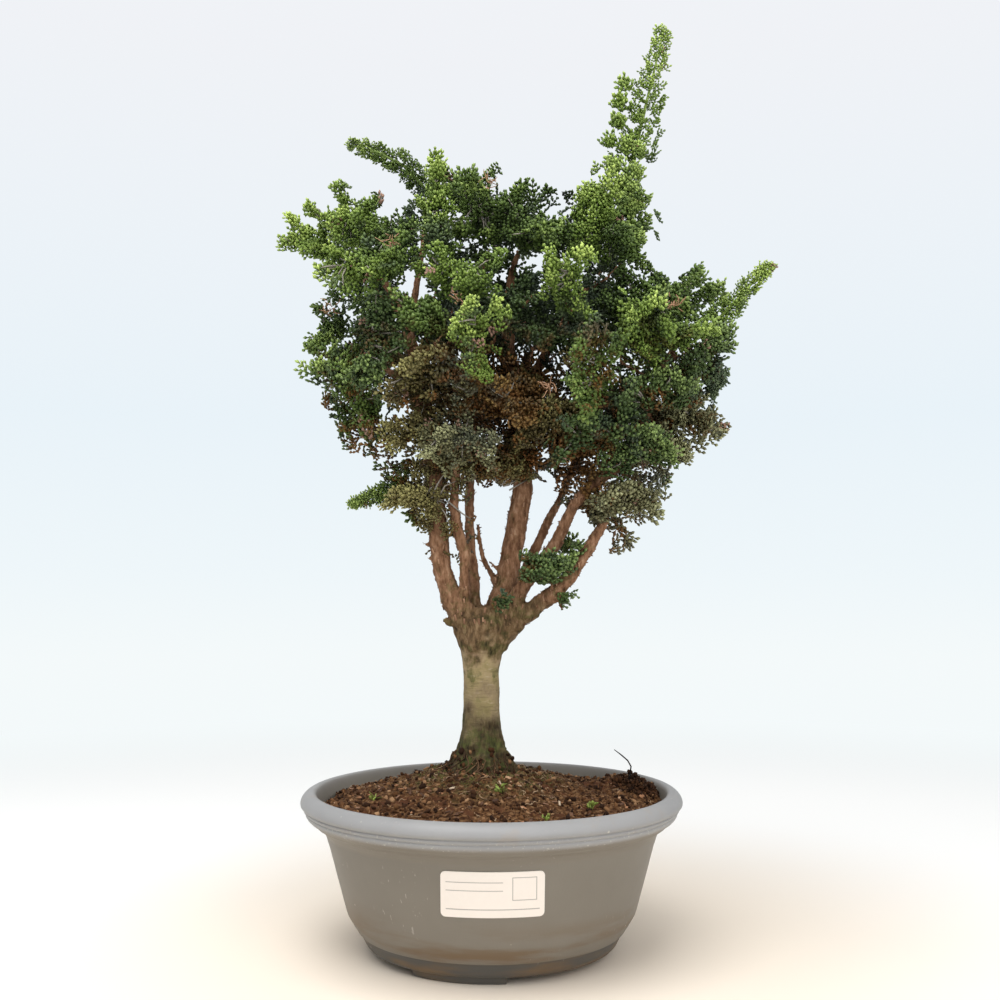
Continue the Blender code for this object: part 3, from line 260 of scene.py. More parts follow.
sky = Nodes("backdrop_paper")
height = split_place(sky, sky.place())[2]
paper = sky.ramp(
    sky.math("DIVIDE", height, 2.4),
    (
        (0.0, (0.905, 0.950, 0.958)),
        (0.10, (0.860, 0.925, 0.955)),
        (0.30, (0.815, 0.893, 0.945)),
        (0.80, (0.868, 0.887, 0.922)),
        (1.0, (0.880, 0.895, 0.930)),
    ),
)
light_paper = sky.add("ShaderNodeEmission")
sky.set(light_paper.inputs[0], paper)
sky.set(sky.out.inputs[0], light_paper.outputs[0])
backdrop.data.materials.append(sky.material)

world = bpy.data.worlds.new("daylight")
bpy.context.scene.world = world
world.use_nodes = True
world.node_tree.nodes["Background"].inputs[0].default_value = DAYLIGHT
world.node_tree.nodes["Background"].inputs[1].default_value = DAYLIGHT_STRENGTH
for name, place, aim, size, power in LAMPS:
    bpy.ops.object.light_add(type="AREA", location=place)
    lamp = bpy.context.object
    lamp.name = name
    lamp.data.size = size
    lamp.data.energy = power
    lamp.rotation_euler = (Vector(aim) - Vector(place)).to_track_quat("-Z", "Y").to_euler()
bpy.ops.object.camera_add(location=CAMERA_PLACE, rotation=(CAMERA_TILT, 0.0, 0.0))
bpy.context.object.data.lens = CAMERA_LENS
bpy.context.scene.camera = bpy.context.object
bpy.context.scene.view_settings.view_transform = "Standard"


# Bowl
# A training bowl of grey polypropylene, injection moulded in one piece with a rolled,
# grooved rim, a stepped wall, five drain holes and three low feet.

BOWL_PROFILE_MM = (
    (0.0, 3.5), (62.0, 3.5), (66.0, 3.6), (67.8, 4.2), (68.9, 5.3), (69.8, 6.8), (71.2, 9.6),
    (72.1, 11.6), (72.4, 11.95), (73.1, 12.15), (73.7, 12.8), (75.4, 15.6), (75.9, 16.2),
    (76.5, 17.4), (77.4, 18.7), (78.6, 20.7), (79.1, 21.6), (79.9, 24.0), (82.0, 31.6),
    (84.9, 42.0), (87.6, 52.0), (89.1, 57.4), (90.3, 61.0), (90.9, 63.0), (91.6, 64.8), (92.0, 65.2),
    (92.8, 66.4), (94.4, 68.0), (96.4, 69.4), (96.9, 69.5), (97.2, 70.0), (99.2, 71.5),
    (100.5, 72.4), (101.4, 73.3), (102.0, 74.2), (102.2, 75.0), (102.1, 75.5), (102.0, 75.7),
    (102.2, 75.9), (102.8, 76.3), (103.2, 76.9), (103.3, 77.5), (103.1, 77.9), (103.0, 78.1),
    (103.4, 78.3), (104.3, 78.8), (104.9, 79.6), (105.0, 80.5), (104.8, 81.6), (104.3, 82.7),
    (103.5, 83.8), (102.4, 84.8), (101.0, 85.6), (99.4, 86.0), (98.0, 85.95), (97.1, 85.6),
    (96.6, 85.0), (96.1, 83.4), (94.6, 79.0), (90.6, 66.8), (90.1, 65.2), (88.0, 57.0),
    (82.6, 40.0), (77.0, 22.5), (72.6, 14.2), (69.4, 9.0), (67.0, 6.4), (64.5, 5.5), (0.0, 5.5),
)
BOWL_STEPS = 144
FOOT_AZIMUTHS = (-61.0, 59.0, 179.0)
FOOT_HALF_ANGLE = 22.0
FOOT_PROFILE_MM = (
    (57.0, 3.9), (57.0, 0.4), (57.5, 0.0), (64.2, 0.0), (65.2, 0.5), (66.2, 3.2), (66.4, 3.9), (57.0, 3.9),
)
DRAIN_RING = 0.035
DRAIN_RADIUS = 0.005

bowl = turned("bowl", [(r / 1000, z / 1000) for r, z in BOWL_PROFILE_MM], BOWL_STEPS, POT_X)
for turn in range(5):
    angle = math.radians(45 + 90 * turn)
    out = DRAIN_RING if turn < 4 else 0.0
    spot = (POT_X + out * math.cos(angle), out * math.sin(angle), 0.0045)
    drill = add("cylinder", "drill", vertices=32, radius=DRAIN_RADIUS, depth=0.006, location=spot)
    pick(bowl)
    cut = bowl.modifiers.new("drain", "BOOLEAN")
    cut.operation = "DIFFERENCE"
    cut.object = drill
    bpy.ops.object.modifier_apply(modifier="drain")
    bpy.data.objects.remove(drill)
for azimuth in FOOT_AZIMUTHS:
    foot = turned(
        "foot",
        [(r / 1000, z / 1000) for r, z in FOOT_PROFILE_MM],
        12,
        POT_X,
        math.radians(2 * FOOT_HALF_ANGLE),
        math.radians(azimuth - FOOT_HALF_ANGLE),
    )
    bpy.ops.object.mode_set(mode="EDIT")
    bpy.ops.mesh.select_all(action="SELECT")
    bpy.ops.mesh.region_to_loop()
    bpy.ops.mesh.fill_holes(sides=0)
    bpy.ops.mesh.select_all(action="SELECT")
    bpy.ops.mesh.normals_make_consistent(inside=False)
    bpy.ops.object.mode_set(mode="OBJECT")
    bowl.select_set(True)
    bpy.context.view_layer.objects.active = bowl
    bpy.ops.object.join()
pick(bowl)
bpy.ops.object.shade_smooth_by_angle(angle=math.radians(38))

plastic = Nodes("grey_plastic")
upright = plastic.place()
along = split_place(plastic, plastic.place((POT_X, 0.0, 0.0)))
from_axis = plastic.math(
    "SQRT", plastic.math("ADD", plastic.math("POWER", along[0], 2.0), plastic.math("POWER", along[1], 2.0))
)
cloud = plastic.noise(upright, 28.0)
body_grey = plastic.mix(cloud, (0.168, 0.150, 0.122, 1.0), (0.210, 0.190, 0.158, 1.0))
rim_share = plastic.math("MULTIPLY", plastic.rise(from_axis, 0.0950, 0.0990), plastic.rise(along[2], 0.0715, 0.0745))
rim_grey = plastic.mix(cloud, (0.270, 0.268, 0.268, 1.0), (0.330, 0.326, 0.322, 1.0))
grey = plastic.mix(rim_share, body_grey, rim_grey)
# Painted shade: inside the rim the bowl's inner wall is darkened nearly to black.
inner_line = plastic.math("ADD", 0.0689, plastic.math("MULTIPLY", along[2], 0.325))
inside = plastic.math("MULTIPLY", plastic.rise(from_axis, 0.0972, 0.0962), plastic.math("LESS_THAN", from_axis, inner_line))
grey = plastic.mix(inside, grey, (0.078, 0.075, 0.068, 1.0))
stain_place = plastic.place(scale=(1.0, 1.0, 7.0))
stain = plastic.rise(plastic.noise(stain_place, 16.0, 5.0), 0.42, 0.66)
near_foot = plastic.rise(along[2], 0.040, 0.010)
grey = plastic.mix(plastic.math("MULTIPLY", stain, near_foot), grey, (0.150, 0.098, 0.052, 1.0))
edge_stain = plastic.math("MULTIPLY", plastic.rise(plastic.noise(upright, 75.0, 3.0), 0.56, 0.70), rim_share)
grey = plastic.mix(plastic.math("MULTIPLY", edge_stain, 0.22), grey, (0.34, 0.27, 0.20, 1.0))
lime_band = plastic.math("MULTIPLY", plastic.rise(from_axis, 0.0995, 0.1010), plastic.rise(along[2], 0.0782, 0.0770))
lime = plastic.math("MULTIPLY", plastic.rise(plastic.noise(upright, 620.0, 3.0), 0.60, 0.70), lime_band)
speck_cells = plastic.add("ShaderNodeTexVoronoi", feature="F1")
plastic.set(speck_cells.inputs["Vector"], upright)
speck_cells.inputs["Scale"].default_value = 150.0
rare = plastic.rise(split_place(plastic, speck_cells.outputs["Color"])[0], 0.90, 0.93)
speck = plastic.math("MULTIPLY", plastic.rise(speck_cells.outputs["Distance"], 0.13, 0.06), rare)
dust = plastic.math("MAXIMUM", plastic.math("MULTIPLY", lime, 0.50), plastic.math("MULTIPLY", speck, 0.7))
grey = plastic.mix(dust, grey, (0.62, 0.58, 0.52, 1.0))
scratch_place = plastic.place(scale=(1.0, 1.0, 0.10))
scratch = plastic.rise(plastic.noise(scratch_place, 620.0, 2.0), 0.665, 0.72)
scuffed = plastic.math("MULTIPLY", plastic.rise(plastic.noise(upright, 22.0, 2.0), 0.55, 0.68), scratch)
grey = plastic.mix(plastic.math("MULTIPLY", scuffed, 0.45), grey, (0.48, 0.45, 0.41, 1.0))
orange_peel = plastic.noise(upright, 900.0, 2.0)
relief = plastic.bump(plastic.math("ADD", plastic.math("MULTIPLY", orange_peel, 0.4), dust), 0.35, 0.00025)
shine = plastic.math("ADD", 0.40, plastic.math("MULTIPLY", plastic.noise(upright, 60.0), 0.16))
bowl.data.materials.clear()
bowl.data.materials.append(plastic.surface(grey, shine, relief, Specular_IOR_Level=0.42))
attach(bowl, "root")
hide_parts("pot")


# Sticker
# A white paper nursery sticker with rounded corners, pressed on the front of the wall.
# It carries only plain ruled lines and an empty square.

LABEL_LOW, LABEL_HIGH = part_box("label")
LABEL_MID = (LABEL_LOW + LABEL_HIGH) / 2
LABEL_WIDTH = LABEL_HIGH.x - LABEL_LOW.x
LABEL_HEIGHT = 0.0232
LABEL_CORNER = 0.0024
INK = (0.10, 0.09, 0.085, 1.0)
PAPER = (0.84, 0.775, 0.715, 1.0)

sticker = add("plane", "sticker", size=1.0)
bpy.ops.object.mode_set(mode="EDIT")
bpy.ops.mesh.select_all(action="SELECT")
bpy.ops.transform.resize(value=(LABEL_WIDTH, LABEL_HEIGHT, 1.0))
bpy.ops.mesh.bevel(affect="VERTICES", offset=LABEL_CORNER, segments=5)
for step in range(1, 28):
    bpy.ops.mesh.select_all(action="SELECT")
    cut_x = LABEL_WIDTH * (step / 28 - 0.5)
    bpy.ops.mesh.bisect(plane_co=(cut_x, 0.0, 0.0), plane_no=(1.0, 0.0, 0.0))
bpy.ops.object.mode_set(mode="OBJECT")
for point in sticker.data.vertices:
    height = (LABEL_LOW.z + LABEL_HIGH.z) / 2 + point.co.y
    wall = 0.0791 + (height - 0.0216) * (0.0887 - 0.0791) / (0.0560 - 0.0216)
    radius = wall + 0.0003
    angle = math.radians(-89.3) + point.co.x / radius
    point.co = Vector((POT_X + radius * math.cos(angle), radius * math.sin(angle), height))
pick(sticker)
thick = sticker.modifiers.new("thick", "SOLIDIFY")
thick.thickness = 0.00035
thick.offset = 1.0
bpy.ops.object.modifier_apply(modifier="thick")
bpy.ops.object.shade_smooth_by_angle(angle=math.radians(40))

paper = Nodes("sticker_paper")
spot = split_place(paper, paper.place(tuple(LABEL_MID)))


def band(nodes, value, low, high):
    """1 between low and high."""
    above = nodes.math("GREATER_THAN", value, low)
    below = nodes.math("LESS_THAN", value, high)
    return nodes.math("MULTIPLY", above, below)


def box_mask(nodes, value_x, value_z, x0, x1, z0, z1):
    return nodes.math("MULTIPLY", band(nodes, value_x, x0, x1), band(nodes, value_z, z0, z1))


marks = None
for x0, x1, z0, z1 in (
    (-0.0228, 0.0050, 0.0060, 0.0064),
    (-0.0228, 0.0050, 0.0018, 0.0022),
    (-0.0228, 0.0228, -0.0078, -0.0073),
):
    line = box_mask(paper, spot[0], spot[2], x0, x1, z0, z1)
    marks = line if marks is None else paper.math("MAXIMUM", marks, line)
outer = box_mask(paper, spot[0], spot[2], 0.0095, 0.0215, -0.0030, 0.0088)
inner = box_mask(paper, spot[0], spot[2], 0.0099, 0.0211, -0.0026, 0.0084)
marks = paper.math("MAXIMUM", marks, paper.math("SUBTRACT", outer, inner, clamp=True))
fibre = paper.noise(paper.place(), 420.0, 3.0)
sheet = paper.mix(fibre, PAPER, (0.875, 0.815, 0.755, 1.0))
ink = paper.math("MULTIPLY", marks, 0.62)
sticker.data.materials.append(
    paper.surface(paper.mix(ink, sheet, INK), 0.55, paper.bump(fibre, 0.15, 0.00005))
)
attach(sticker, "root")
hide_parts("label")


# Soil bed
# Peat with composted bark, mounded up to the trunk's foot and darker where it is damp.
# It is poured loose, so its surface is all crumbs.

SOIL_LOW, SOIL_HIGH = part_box("soil")


def copy_of(node, name):
    """A welded copy of a node's mesh, as a new piece."""
    piece = bpy.data.objects.new(name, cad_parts[node].data.copy())
    bpy.context.scene.collection.objects.link(piece)
    pick(piece)
    piece.data.materials.clear()
    bpy.ops.object.mode_set(mode="EDIT")
    bpy.ops.mesh.select_all(action="SELECT")
    bpy.ops.mesh.remove_doubles(threshold=0.00001)
    bpy.ops.object.mode_set(mode="OBJECT")
    return piece


def apply(piece, kind, **settings):
    """Adds one modifier and applies it."""
    pick(piece)
    step = piece.modifiers.new(kind.lower(), kind)
    for key, value in settings.items():
        setattr(step, key, value)
    bpy.ops.object.modifier_apply(modifier=step.name)


def lumps(name, size, kind="CLOUDS"):
    """A noise for displacing, with features of the given size in metres."""
    texture = bpy.data.textures.new(name, kind)
    texture.noise_scale = size
    if kind == "CLOUDS":
        texture.noise_depth = 3
    return texture


soil = copy_of("soil", "soil_bed")
apply(soil, "REMESH", mode="VOXEL", voxel_size=0.0020)
apply(soil, "SMOOTH", factor=0.5, iterations=6)
apply(soil, "DISPLACE", texture=lumps("heaps", 0.011), strength=0.0036, mid_level=0.62)
apply(soil, "DISPLACE", texture=lumps("crumbs", 0.0032), strength=0.0024, mid_level=0.55)
HOLLOW_SPOT = (0.040, -0.010)
soil_points = np.array([v.co for v in soil.data.vertices], float)
from_hollow = np.hypot(soil_points[:, 0] - POT_X - HOLLOW_SPOT[0], soil_points[:, 1] - HOLLOW_SPOT[1])
on_top = soil_points[:, 2] > 0.078
spread_out = np.where(on_top, 1.022, 1.0)
soil_points[:, 0] = POT_X + (soil_points[:, 0] - POT_X) * spread_out
soil_points[:, 1] *= spread_out
soil_points[:, 2] -= np.where(on_top, 0.0055 * np.clip(1.0 - from_hollow / 0.0065, 0.0, 1.0), 0.0)
soil.data.vertices.foreach_set("co", soil_points.ravel())
soil.data.update()
pick(soil)
bpy.ops.object.shade_smooth()

peat = Nodes("peat")
ground = peat.place()
grain = peat.noise(ground, 420.0, 6.0, 0.7)
patch = peat.noise(ground, 60.0, 3.0)
peat_colour = peat.ramp(
    grain,
    (
        (0.32, (0.014, 0.005, 0.001)),
        (0.44, (0.052, 0.020, 0.007)),
        (0.56, (0.145, 0.070, 0.028)),
        (0.70, (0.360, 0.215, 0.110)),
    ),
)
peat_colour = peat.mix(peat.math("MULTIPLY", peat.rise(patch, 0.52, 0.66), 0.8), peat_colour, (0.085, 0.030, 0.013, 1.0))
from_trunk = split_place(peat, peat.place((POT_X - 0.0058, 0.0, 0.0)))
trunk_gap = peat.math("SQRT", peat.math("ADD", peat.math("POWER", from_trunk[0], 2.0), peat.math("POWER", from_trunk[1], 2.0)))
mossy = peat.math("MULTIPLY", peat.rise(trunk_gap, 0.062, 0.020), peat.rise(peat.noise(ground, 150.0, 5.0, 0.65), 0.46, 0.60))
peat_colour = peat.mix(peat.math("MULTIPLY", mossy, 0.75), peat_colour, (0.120, 0.110, 0.040, 1.0))
soil.data.materials.append(
    peat.surface(peat_colour, 0.92, peat.bump(grain, 0.9, 0.0012), Specular_IOR_Level=0.15)
)
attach(soil, "root")
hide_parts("soil")


# Crumbs, chips and fibres
# Loose bits that lie on the soil: dark peat crumbs, tan and orange chips of bark, and
# pale root fibres.

SOIL_RADIUS = 0.0940
TRUNK_SPOT = (POT_X - 0.0058, 0.0)
draw = np.random.default_rng(7)
soil_tree = BVHTree.FromObject(soil, bpy.context.evaluated_depsgraph_get())


def shape_of(piece):
    """A primitive's points and faces, after which the primitive itself is removed."""
    points = np.array([v.co for v in piece.data.vertices], float)
    faces = [tuple(f.vertices) for f in piece.data.polygons]
    bpy.data.objects.remove(piece)
    return points, faces


def many(name, shape, frames, tones, share=None):
    """One mesh of many copies of a shape. Each copy has a 4 x 3 frame (three axes and a place)
    and its own tone, which its faces carry in the map that the material reads."""
    points, faces = shape
    frames = np.asarray(frames)
    count = len(points)
    copies = np.einsum("pi,cij->cpj", points, frames[:, :3, :]) + frames[:, None, 3, :]
    flat = np.array([c for f in faces for c in f])
    sizes = np.array([len(f) for f in faces])
    total = len(frames)
    corners = (flat[None, :] + (np.arange(total) * count)[:, None]).ravel()
    mesh = bpy.data.meshes.new(name)
    mesh.vertices.add(total * count)
    mesh.vertices.foreach_set("co", copies.reshape(-1).astype(np.float32))
    mesh.loops.add(len(corners))
    mesh.loops.foreach_set("vertex_index", corners)
    mesh.polygons.add(total * len(sizes))
    starts = np.concatenate(([0], np.cumsum(np.tile(sizes, total))[:-1]))
    mesh.polygons.foreach_set("loop_start", starts)
    mesh.update(calc_edges=True)
    u = np.zeros(count) if share is None else share
    turn = np.arctan2(points[:, 1], points[:, 0]) / (2 * math.pi) + 0.5
    u_all = np.clip(np.tile(u[flat], total), 0.004, 0.996)
    v_all = np.repeat(np.asarray(tones), len(flat)) + np.tile(turn[flat], total) * 0.014
    uv = np.stack([u_all, np.clip(v_all, 0.004, 0.996)], 1).ravel().astype(np.float32)
    for label in ("tone", "OFBake"):
        mesh.uv_layers.new(name=label).data.foreach_set("uv", uv)
    mesh.validate()
    mesh.shade_smooth()
    piece = bpy.data.objects.new(name, mesh)
    bpy.context.scene.collection.objects.link(piece)
    return piece


def turned_frame(direction, roll, size, place):
    """A frame whose third axis points along direction."""
    spin = direction.to_track_quat("Z", "Y").to_matrix() @ Matrix.Rotation(roll, 3, "Z")
    axes = [spin.col[i] * size[i] for i in range(3)]
    return [tuple(axes[0]), tuple(axes[1]), tuple(axes[2]), tuple(place)]


def on_soil(reach=SOIL_RADIUS):
    """A random place on the soil's top: a point and the slope there."""
    while True:
        radius = reach * math.sqrt(draw.random())
        angle = draw.random() * 2 * math.pi
        start = Vector((POT_X + radius * math.cos(angle), radius * math.sin(angle), 0.15))
        if math.hypot(start.x - TRUNK_SPOT[0], start.y - TRUNK_SPOT[1]) < 0.011:
            continue
        hit, slope, _, _ = soil_tree.ray_cast(start, Vector((0.0, 0.0, -1.0)))
        if hit is not None and hit.z > 0.07:
            return hit, slope


def random_way(up=0.0):
    way = Vector(draw.normal(size=3))
    way.z += up
    return way.normalized()


crumb = add("ico_sphere", "crumb", subdivisions=1, radius=1.0)
crumb_shape = shape_of(crumb)
crumb_shape[0][:] *= draw.uniform(0.60, 1.25, size=(len(crumb_shape[0]), 1))
CLUMP_SPOT = (0.081, 0.007)
frames, tones = [], []
for k in range(2700):
    if k < 260:
        angle, out = draw.random() * 6.3, 0.013 * draw.random() ** 0.6
        start = Vector((POT_X + CLUMP_SPOT[0] + out * math.cos(angle), CLUMP_SPOT[1] + out * math.sin(angle), 0.15))
        hit, slope, _, _ = soil_tree.ray_cast(start, Vector((0.0, 0.0, -1.0)))
        if hit is None or hit.z < 0.07:
            continue
        hit = hit + Vector((0.0, 0.0, 0.0065 * draw.random() * (1.0 - out / 0.014)))
        tone_value = 0.30 * draw.random()
    else:
        hit, slope = on_soil()
        tone_value = 0.03 + 0.82 * draw.random() ** 1.6
    size = 0.00045 + 0.0012 * draw.random() ** 2.4
    stretch = [size * draw.uniform(0.5, 1.5) for _ in range(3)]
    frames.append(turned_frame(random_way(), draw.random() * 6.3, stretch, hit + slope * size * 0.35))
    tones.append(tone_value)
crumbs = many("soil_crumbs", crumb_shape, frames, tones)
crumb_paint = Nodes("crumb_brown")
tone_map = crumb_paint.add("ShaderNodeUVMap", uv_map="tone")
tone = split_place(crumb_paint, tone_map.outputs[0])[1]
crumb_colour = crumb_paint.ramp(
    tone,
    (
        (0.0, (0.012, 0.004, 0.001)),
        (0.35, (0.066, 0.026, 0.009)),
        (0.62, (0.170, 0.080, 0.032)),
        (0.86, (0.370, 0.215, 0.110)),
    ),
)
crumbs.data.materials.append(crumb_paint.surface(crumb_colour, 0.9, Specular_IOR_Level=0.2))

chip = add("cube", "chip", size=1.0)
bpy.ops.object.mode_set(mode="EDIT")
bpy.ops.mesh.select_all(action="SELECT")
bpy.ops.transform.resize(value=(1.0, 0.5, 0.22))
bpy.ops.mesh.bevel(offset=0.07, segments=1, affect="EDGES")
bpy.ops.object.mode_set(mode="OBJECT")
chip_shape = shape_of(chip)
chip_shape[0][:, 2] += 0.10 * np.sin(chip_shape[0][:, 0] * 4.0)
frames, tones = [], []
for _ in range(330):
    hit, slope = on_soil()
    length = draw.uniform(0.0010, 0.0036)
    lie = (slope + random_way() * 0.45).normalized()
    size = (length, length * draw.uniform(0.6, 1.3), length * draw.uniform(0.5, 1.2))
    frames.append(turned_frame(lie, draw.random() * 6.3, size, hit + slope * 0.0005))
    tones.append(draw.choice((0.12, 0.22, 0.35, 0.5, 0.62, 0.78, 0.93), p=(0.18, 0.18, 0.20, 0.14, 0.18, 0.08, 0.04)))
chips = many("bark_chips", chip_shape, frames, tones)
chip_paint = Nodes("chip_brown")
tone = split_place(chip_paint, chip_paint.add("ShaderNodeUVMap", uv_map="tone").outputs[0])[1]
chip_colour = chip_paint.ramp(
    tone,
    (
        (0.10, (0.060, 0.030, 0.018)),
        (0.35, (0.150, 0.075, 0.042)),
        (0.55, (0.300, 0.170, 0.105)),
        (0.70, (0.420, 0.180, 0.070)),
        (0.90, (0.560, 0.430, 0.300)),
    ),
)
chips.data.materials.append(chip_paint.surface(chip_colour, 0.8, Specular_IOR_Level=0.25))


def thread(points, radii, sides=3):
    """A thin closed tube along points."""
    rings, faces = [], []
    for i, point in enumerate(points):
        ahead = (points[min(i + 1, len(points) - 1)] - points[max(i - 1, 0)]).normalized()
        side = ahead.cross(Vector((0.31, 0.17, 0.93))).normalized()
        over = ahead.cross(side)
        for k in range(sides):
            angle = 2 * math.pi * k / sides
            rings.append(point + (side * math.cos(angle) + over * math.sin(angle)) * radii[i])
    for i in range(len(points) - 1):
        for k in range(sides):
            one, two = i * sides + k, i * sides + (k + 1) % sides
            faces.append((one, two, two + sides, one + sides))
    faces.append(tuple(range(sides))[::-1])
    faces.append(tuple(range(len(rings) - sides, len(rings))))
    return rings, faces


def from_threads(name, threads, tones):
    """Joins many threads in one mesh, with a tone for each."""
    points, faces, values = [], [], []
    for (rings, sides_of), tone_value in zip(threads, tones):
        base = len(points)
        points.extend(rings)
        faces.extend(tuple(c + base for c in f) for f in sides_of)
        values.extend([tone_value] * len(sides_of))
    mesh = bpy.data.meshes.new(name)
    mesh.from_pydata(points, [], faces)
    uv = []
    for face, value in zip(faces, values):
        for k in range(len(face)):
            uv.extend(((0.2, 0.8, 0.8, 0.2)[k % 4], value + (0.0, 0.0, 0.014, 0.014)[k % 4]))
    for label in ("tone", "OFBake"):
        mesh.uv_layers.new(name=label).data.foreach_set("uv", uv)
    mesh.shade_smooth()
    piece = bpy.data.objects.new(name, mesh)
    bpy.context.scene.collection.objects.link(piece)
    pick(piece)
    bpy.ops.object.mode_set(mode="EDIT")
    bpy.ops.mesh.select_all(action="SELECT")
    bpy.ops.mesh.normals_make_consistent(inside=False)
    bpy.ops.object.mode_set(mode="OBJECT")
    return piece


threads, tones = [], []
for k in range(820):
    hit, slope = on_soil(SOIL_RADIUS if k % 2 else 0.050)
    way = (random_way() - slope * 0.2).normalized()
    step = draw.uniform(0.0004, 0.0013)
    path = [hit + slope * 0.0002]
    for _ in range(6):
        way = (way + random_way() * 0.55).normalized()
        after = path[-1] + way * step
        found, rise, _, _ = soil_tree.find_nearest(after)
        path.append(found + rise * (0.0002 + 0.0011 * draw.random()))
    thick = draw.uniform(0.00010, 0.00024)
    threads.append(thread(path, [thick] * 6 + [thick * 0.4]))
    tones.append(draw.choice((0.15, 0.5, 0.85), p=(0.40, 0.42, 0.18)))
twig_foot = Vector((POT_X + 0.0770, 0.004, 0.0940))
twig_path = [twig_foot + Vector(step) for step in (
    (0.0, 0.0, -0.004), (0.001, 0.0, 0.003), (-0.001, -0.001, 0.0065), (-0.0045, -0.001, 0.0095), (-0.0085, -0.001, 0.0125),
)]
threads.append(thread(twig_path, (0.0006, 0.0005, 0.0004, 0.00035, 0.0002), 4))
tones.append(0.0)
fibres = from_threads("root_fibres", threads, tones)
fibre_paint = Nodes("fibre_brown")
tone = split_place(fibre_paint, fibre_paint.add("ShaderNodeUVMap", uv_map="tone").outputs[0])[1]
fibre_colour = fibre_paint.ramp(
    tone, ((0.02, (0.012, 0.008, 0.007)), (0.15, (0.060, 0.028, 0.014)), (0.5, (0.220, 0.125, 0.062)), (0.9, (0.470, 0.330, 0.200)))
)
fibres.data.materials.append(fibre_paint.surface(fibre_colour, 0.75, Specular_IOR_Level=0.25))
for piece in (crumbs, chips, fibres):
    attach(piece, "root")


# Moss and weeds
# Cushions of moss grow on the damp mound round the trunk, and small weeds with soft,
# light green leaves have seeded themselves in the peat.

WEED_SPOTS = ((0.051, -0.047, 7), (0.027, -0.071, 5), (0.005, -0.041, 6), (-0.019, -0.012, 8), (-0.062, -0.030, 4))
blade = add("uv_sphere", "blade", segments=4, ring_count=3, radius=1.0)
blade_shape = shape_of(blade)
blade_shape[0][:, 2] = (blade_shape[0][:, 2] + 1.0) / 2.0
blade_shape[0][:, 0] *= 0.42 * (0.35 + 0.65 * blade_shape[0][:, 2])
blade_shape[0][:, 1] = blade_shape[0][:, 1] * 0.07 + 0.35 * blade_shape[0][:, 2] ** 2
frames, tones = [], []
for x, y, count in WEED_SPOTS:
    root, slope, _, _ = soil_tree.ray_cast(Vector((POT_X + x, y, 0.16)), Vector((0.0, 0.0, -1.0)))
    for k in range(count * 2):
        around = Vector((math.cos(k * 2.4), math.sin(k * 2.4), draw.uniform(0.35, 1.1))).normalized()
        size = draw.uniform(0.0022, 0.0042)
        spot = root + Vector(draw.normal(size=3) * 0.0011) + Vector((0.0, 0.0, 0.0004))
        frames.append(turned_frame(around, draw.random() * 6.3, (size, size, size), spot))
        tones.append(draw.uniform(0.45, 0.9))
for _ in range(1500):
    while True:
        hit, slope = on_soil(0.048)
        gap = math.hypot(hit.x - TRUNK_SPOT[0], hit.y - TRUNK_SPOT[1])
        if draw.random() < 1.15 - gap / 0.042 and noise.noise(hit * 130.0) > -0.05:
            break
    size = draw.uniform(0.0008, 0.0017)
    lean = (slope + random_way(0.4) * 0.9).normalized()
    frames.append(turned_frame(lean, draw.random() * 6.3, (size * 0.55, size * 1.6, size), hit - slope * 0.0002))
    tones.append(draw.uniform(0.02, 0.45))
weeds = many("moss_and_weeds", blade_shape, frames, tones, blade_shape[0][:, 2])
weed_paint = Nodes("moss_green")
tone = split_place(weed_paint, weed_paint.add("ShaderNodeUVMap", uv_map="tone").outputs[0])[1]
weed_colour = weed_paint.ramp(
    tone, ((0.05, (0.050, 0.036, 0.012)), (0.25, (0.105, 0.095, 0.026)), (0.45, (0.160, 0.175, 0.035)), (0.80, (0.330, 0.430, 0.090)))
)
weeds.data.materials.append(weed_paint.surface(weed_colour, 0.6, Specular_IOR_Level=0.3))
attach(weeds, "root")


# Bark
# One grown piece: the trunk with its root flare, the limbs, dead stubs and bare twigs.
# The trunk is smooth and finely wrinkled, its foot is fissured and mossy, limbs are flaky.

bark = copy_of("tree", "bark")
apply(bark, "REMESH", mode="VOXEL", voxel_size=0.00115)
apply(bark, "SMOOTH", factor=0.5, iterations=5)


def carved(point):
    """How far the bark stands out at a point: fissures at the foot, wrinkles on the trunk,
    knobs where the limbs part and flakes above."""
    x, y, z = point * 1000.0
    foot = min(max((124.0 - z) / 24.0, 0.0), 1.0)
    limbs = min(max((z - 160.0) / 16.0, 0.0), 1.0)
    fork = max(0.0, 1.0 - abs(z - 176.0) / 26.0)
    fissure = 1.1 - abs(noise.noise(Vector((x * 0.46, y * 0.46, z * 0.09)))) * 5.0
    wrinkle = noise.noise(Vector((x * 0.10, y * 0.10, z * 1.30)))
    flake = noise.noise(Vector((x * 0.60, y * 0.60, z * 0.26))) + 0.7 * noise.noise(point * 950.0)
    swell = noise.noise(point * 90.0)
    knob = noise.noise(point * 210.0)
    gain = foot * fissure * 0.85 + (1 - foot) * (1 - limbs) * (wrinkle * 0.13 + swell * 0.4)
    return (gain + limbs * (flake * 0.50 + swell * 0.3) + fork * (knob * 1.5 + swell * 0.9)) * 0.001


bark_points = np.array([v.co for v in bark.data.vertices], float)
bark_outward = np.array([v.normal for v in bark.data.vertices], float)
bark_lift = np.array([carved(Vector(point)) for point in bark_points])
bark.data.vertices.foreach_set("co", (bark_points + bark_outward * bark_lift[:, None]).ravel())
bark.data.update()
pick(bark)
bpy.ops.object.shade_smooth()

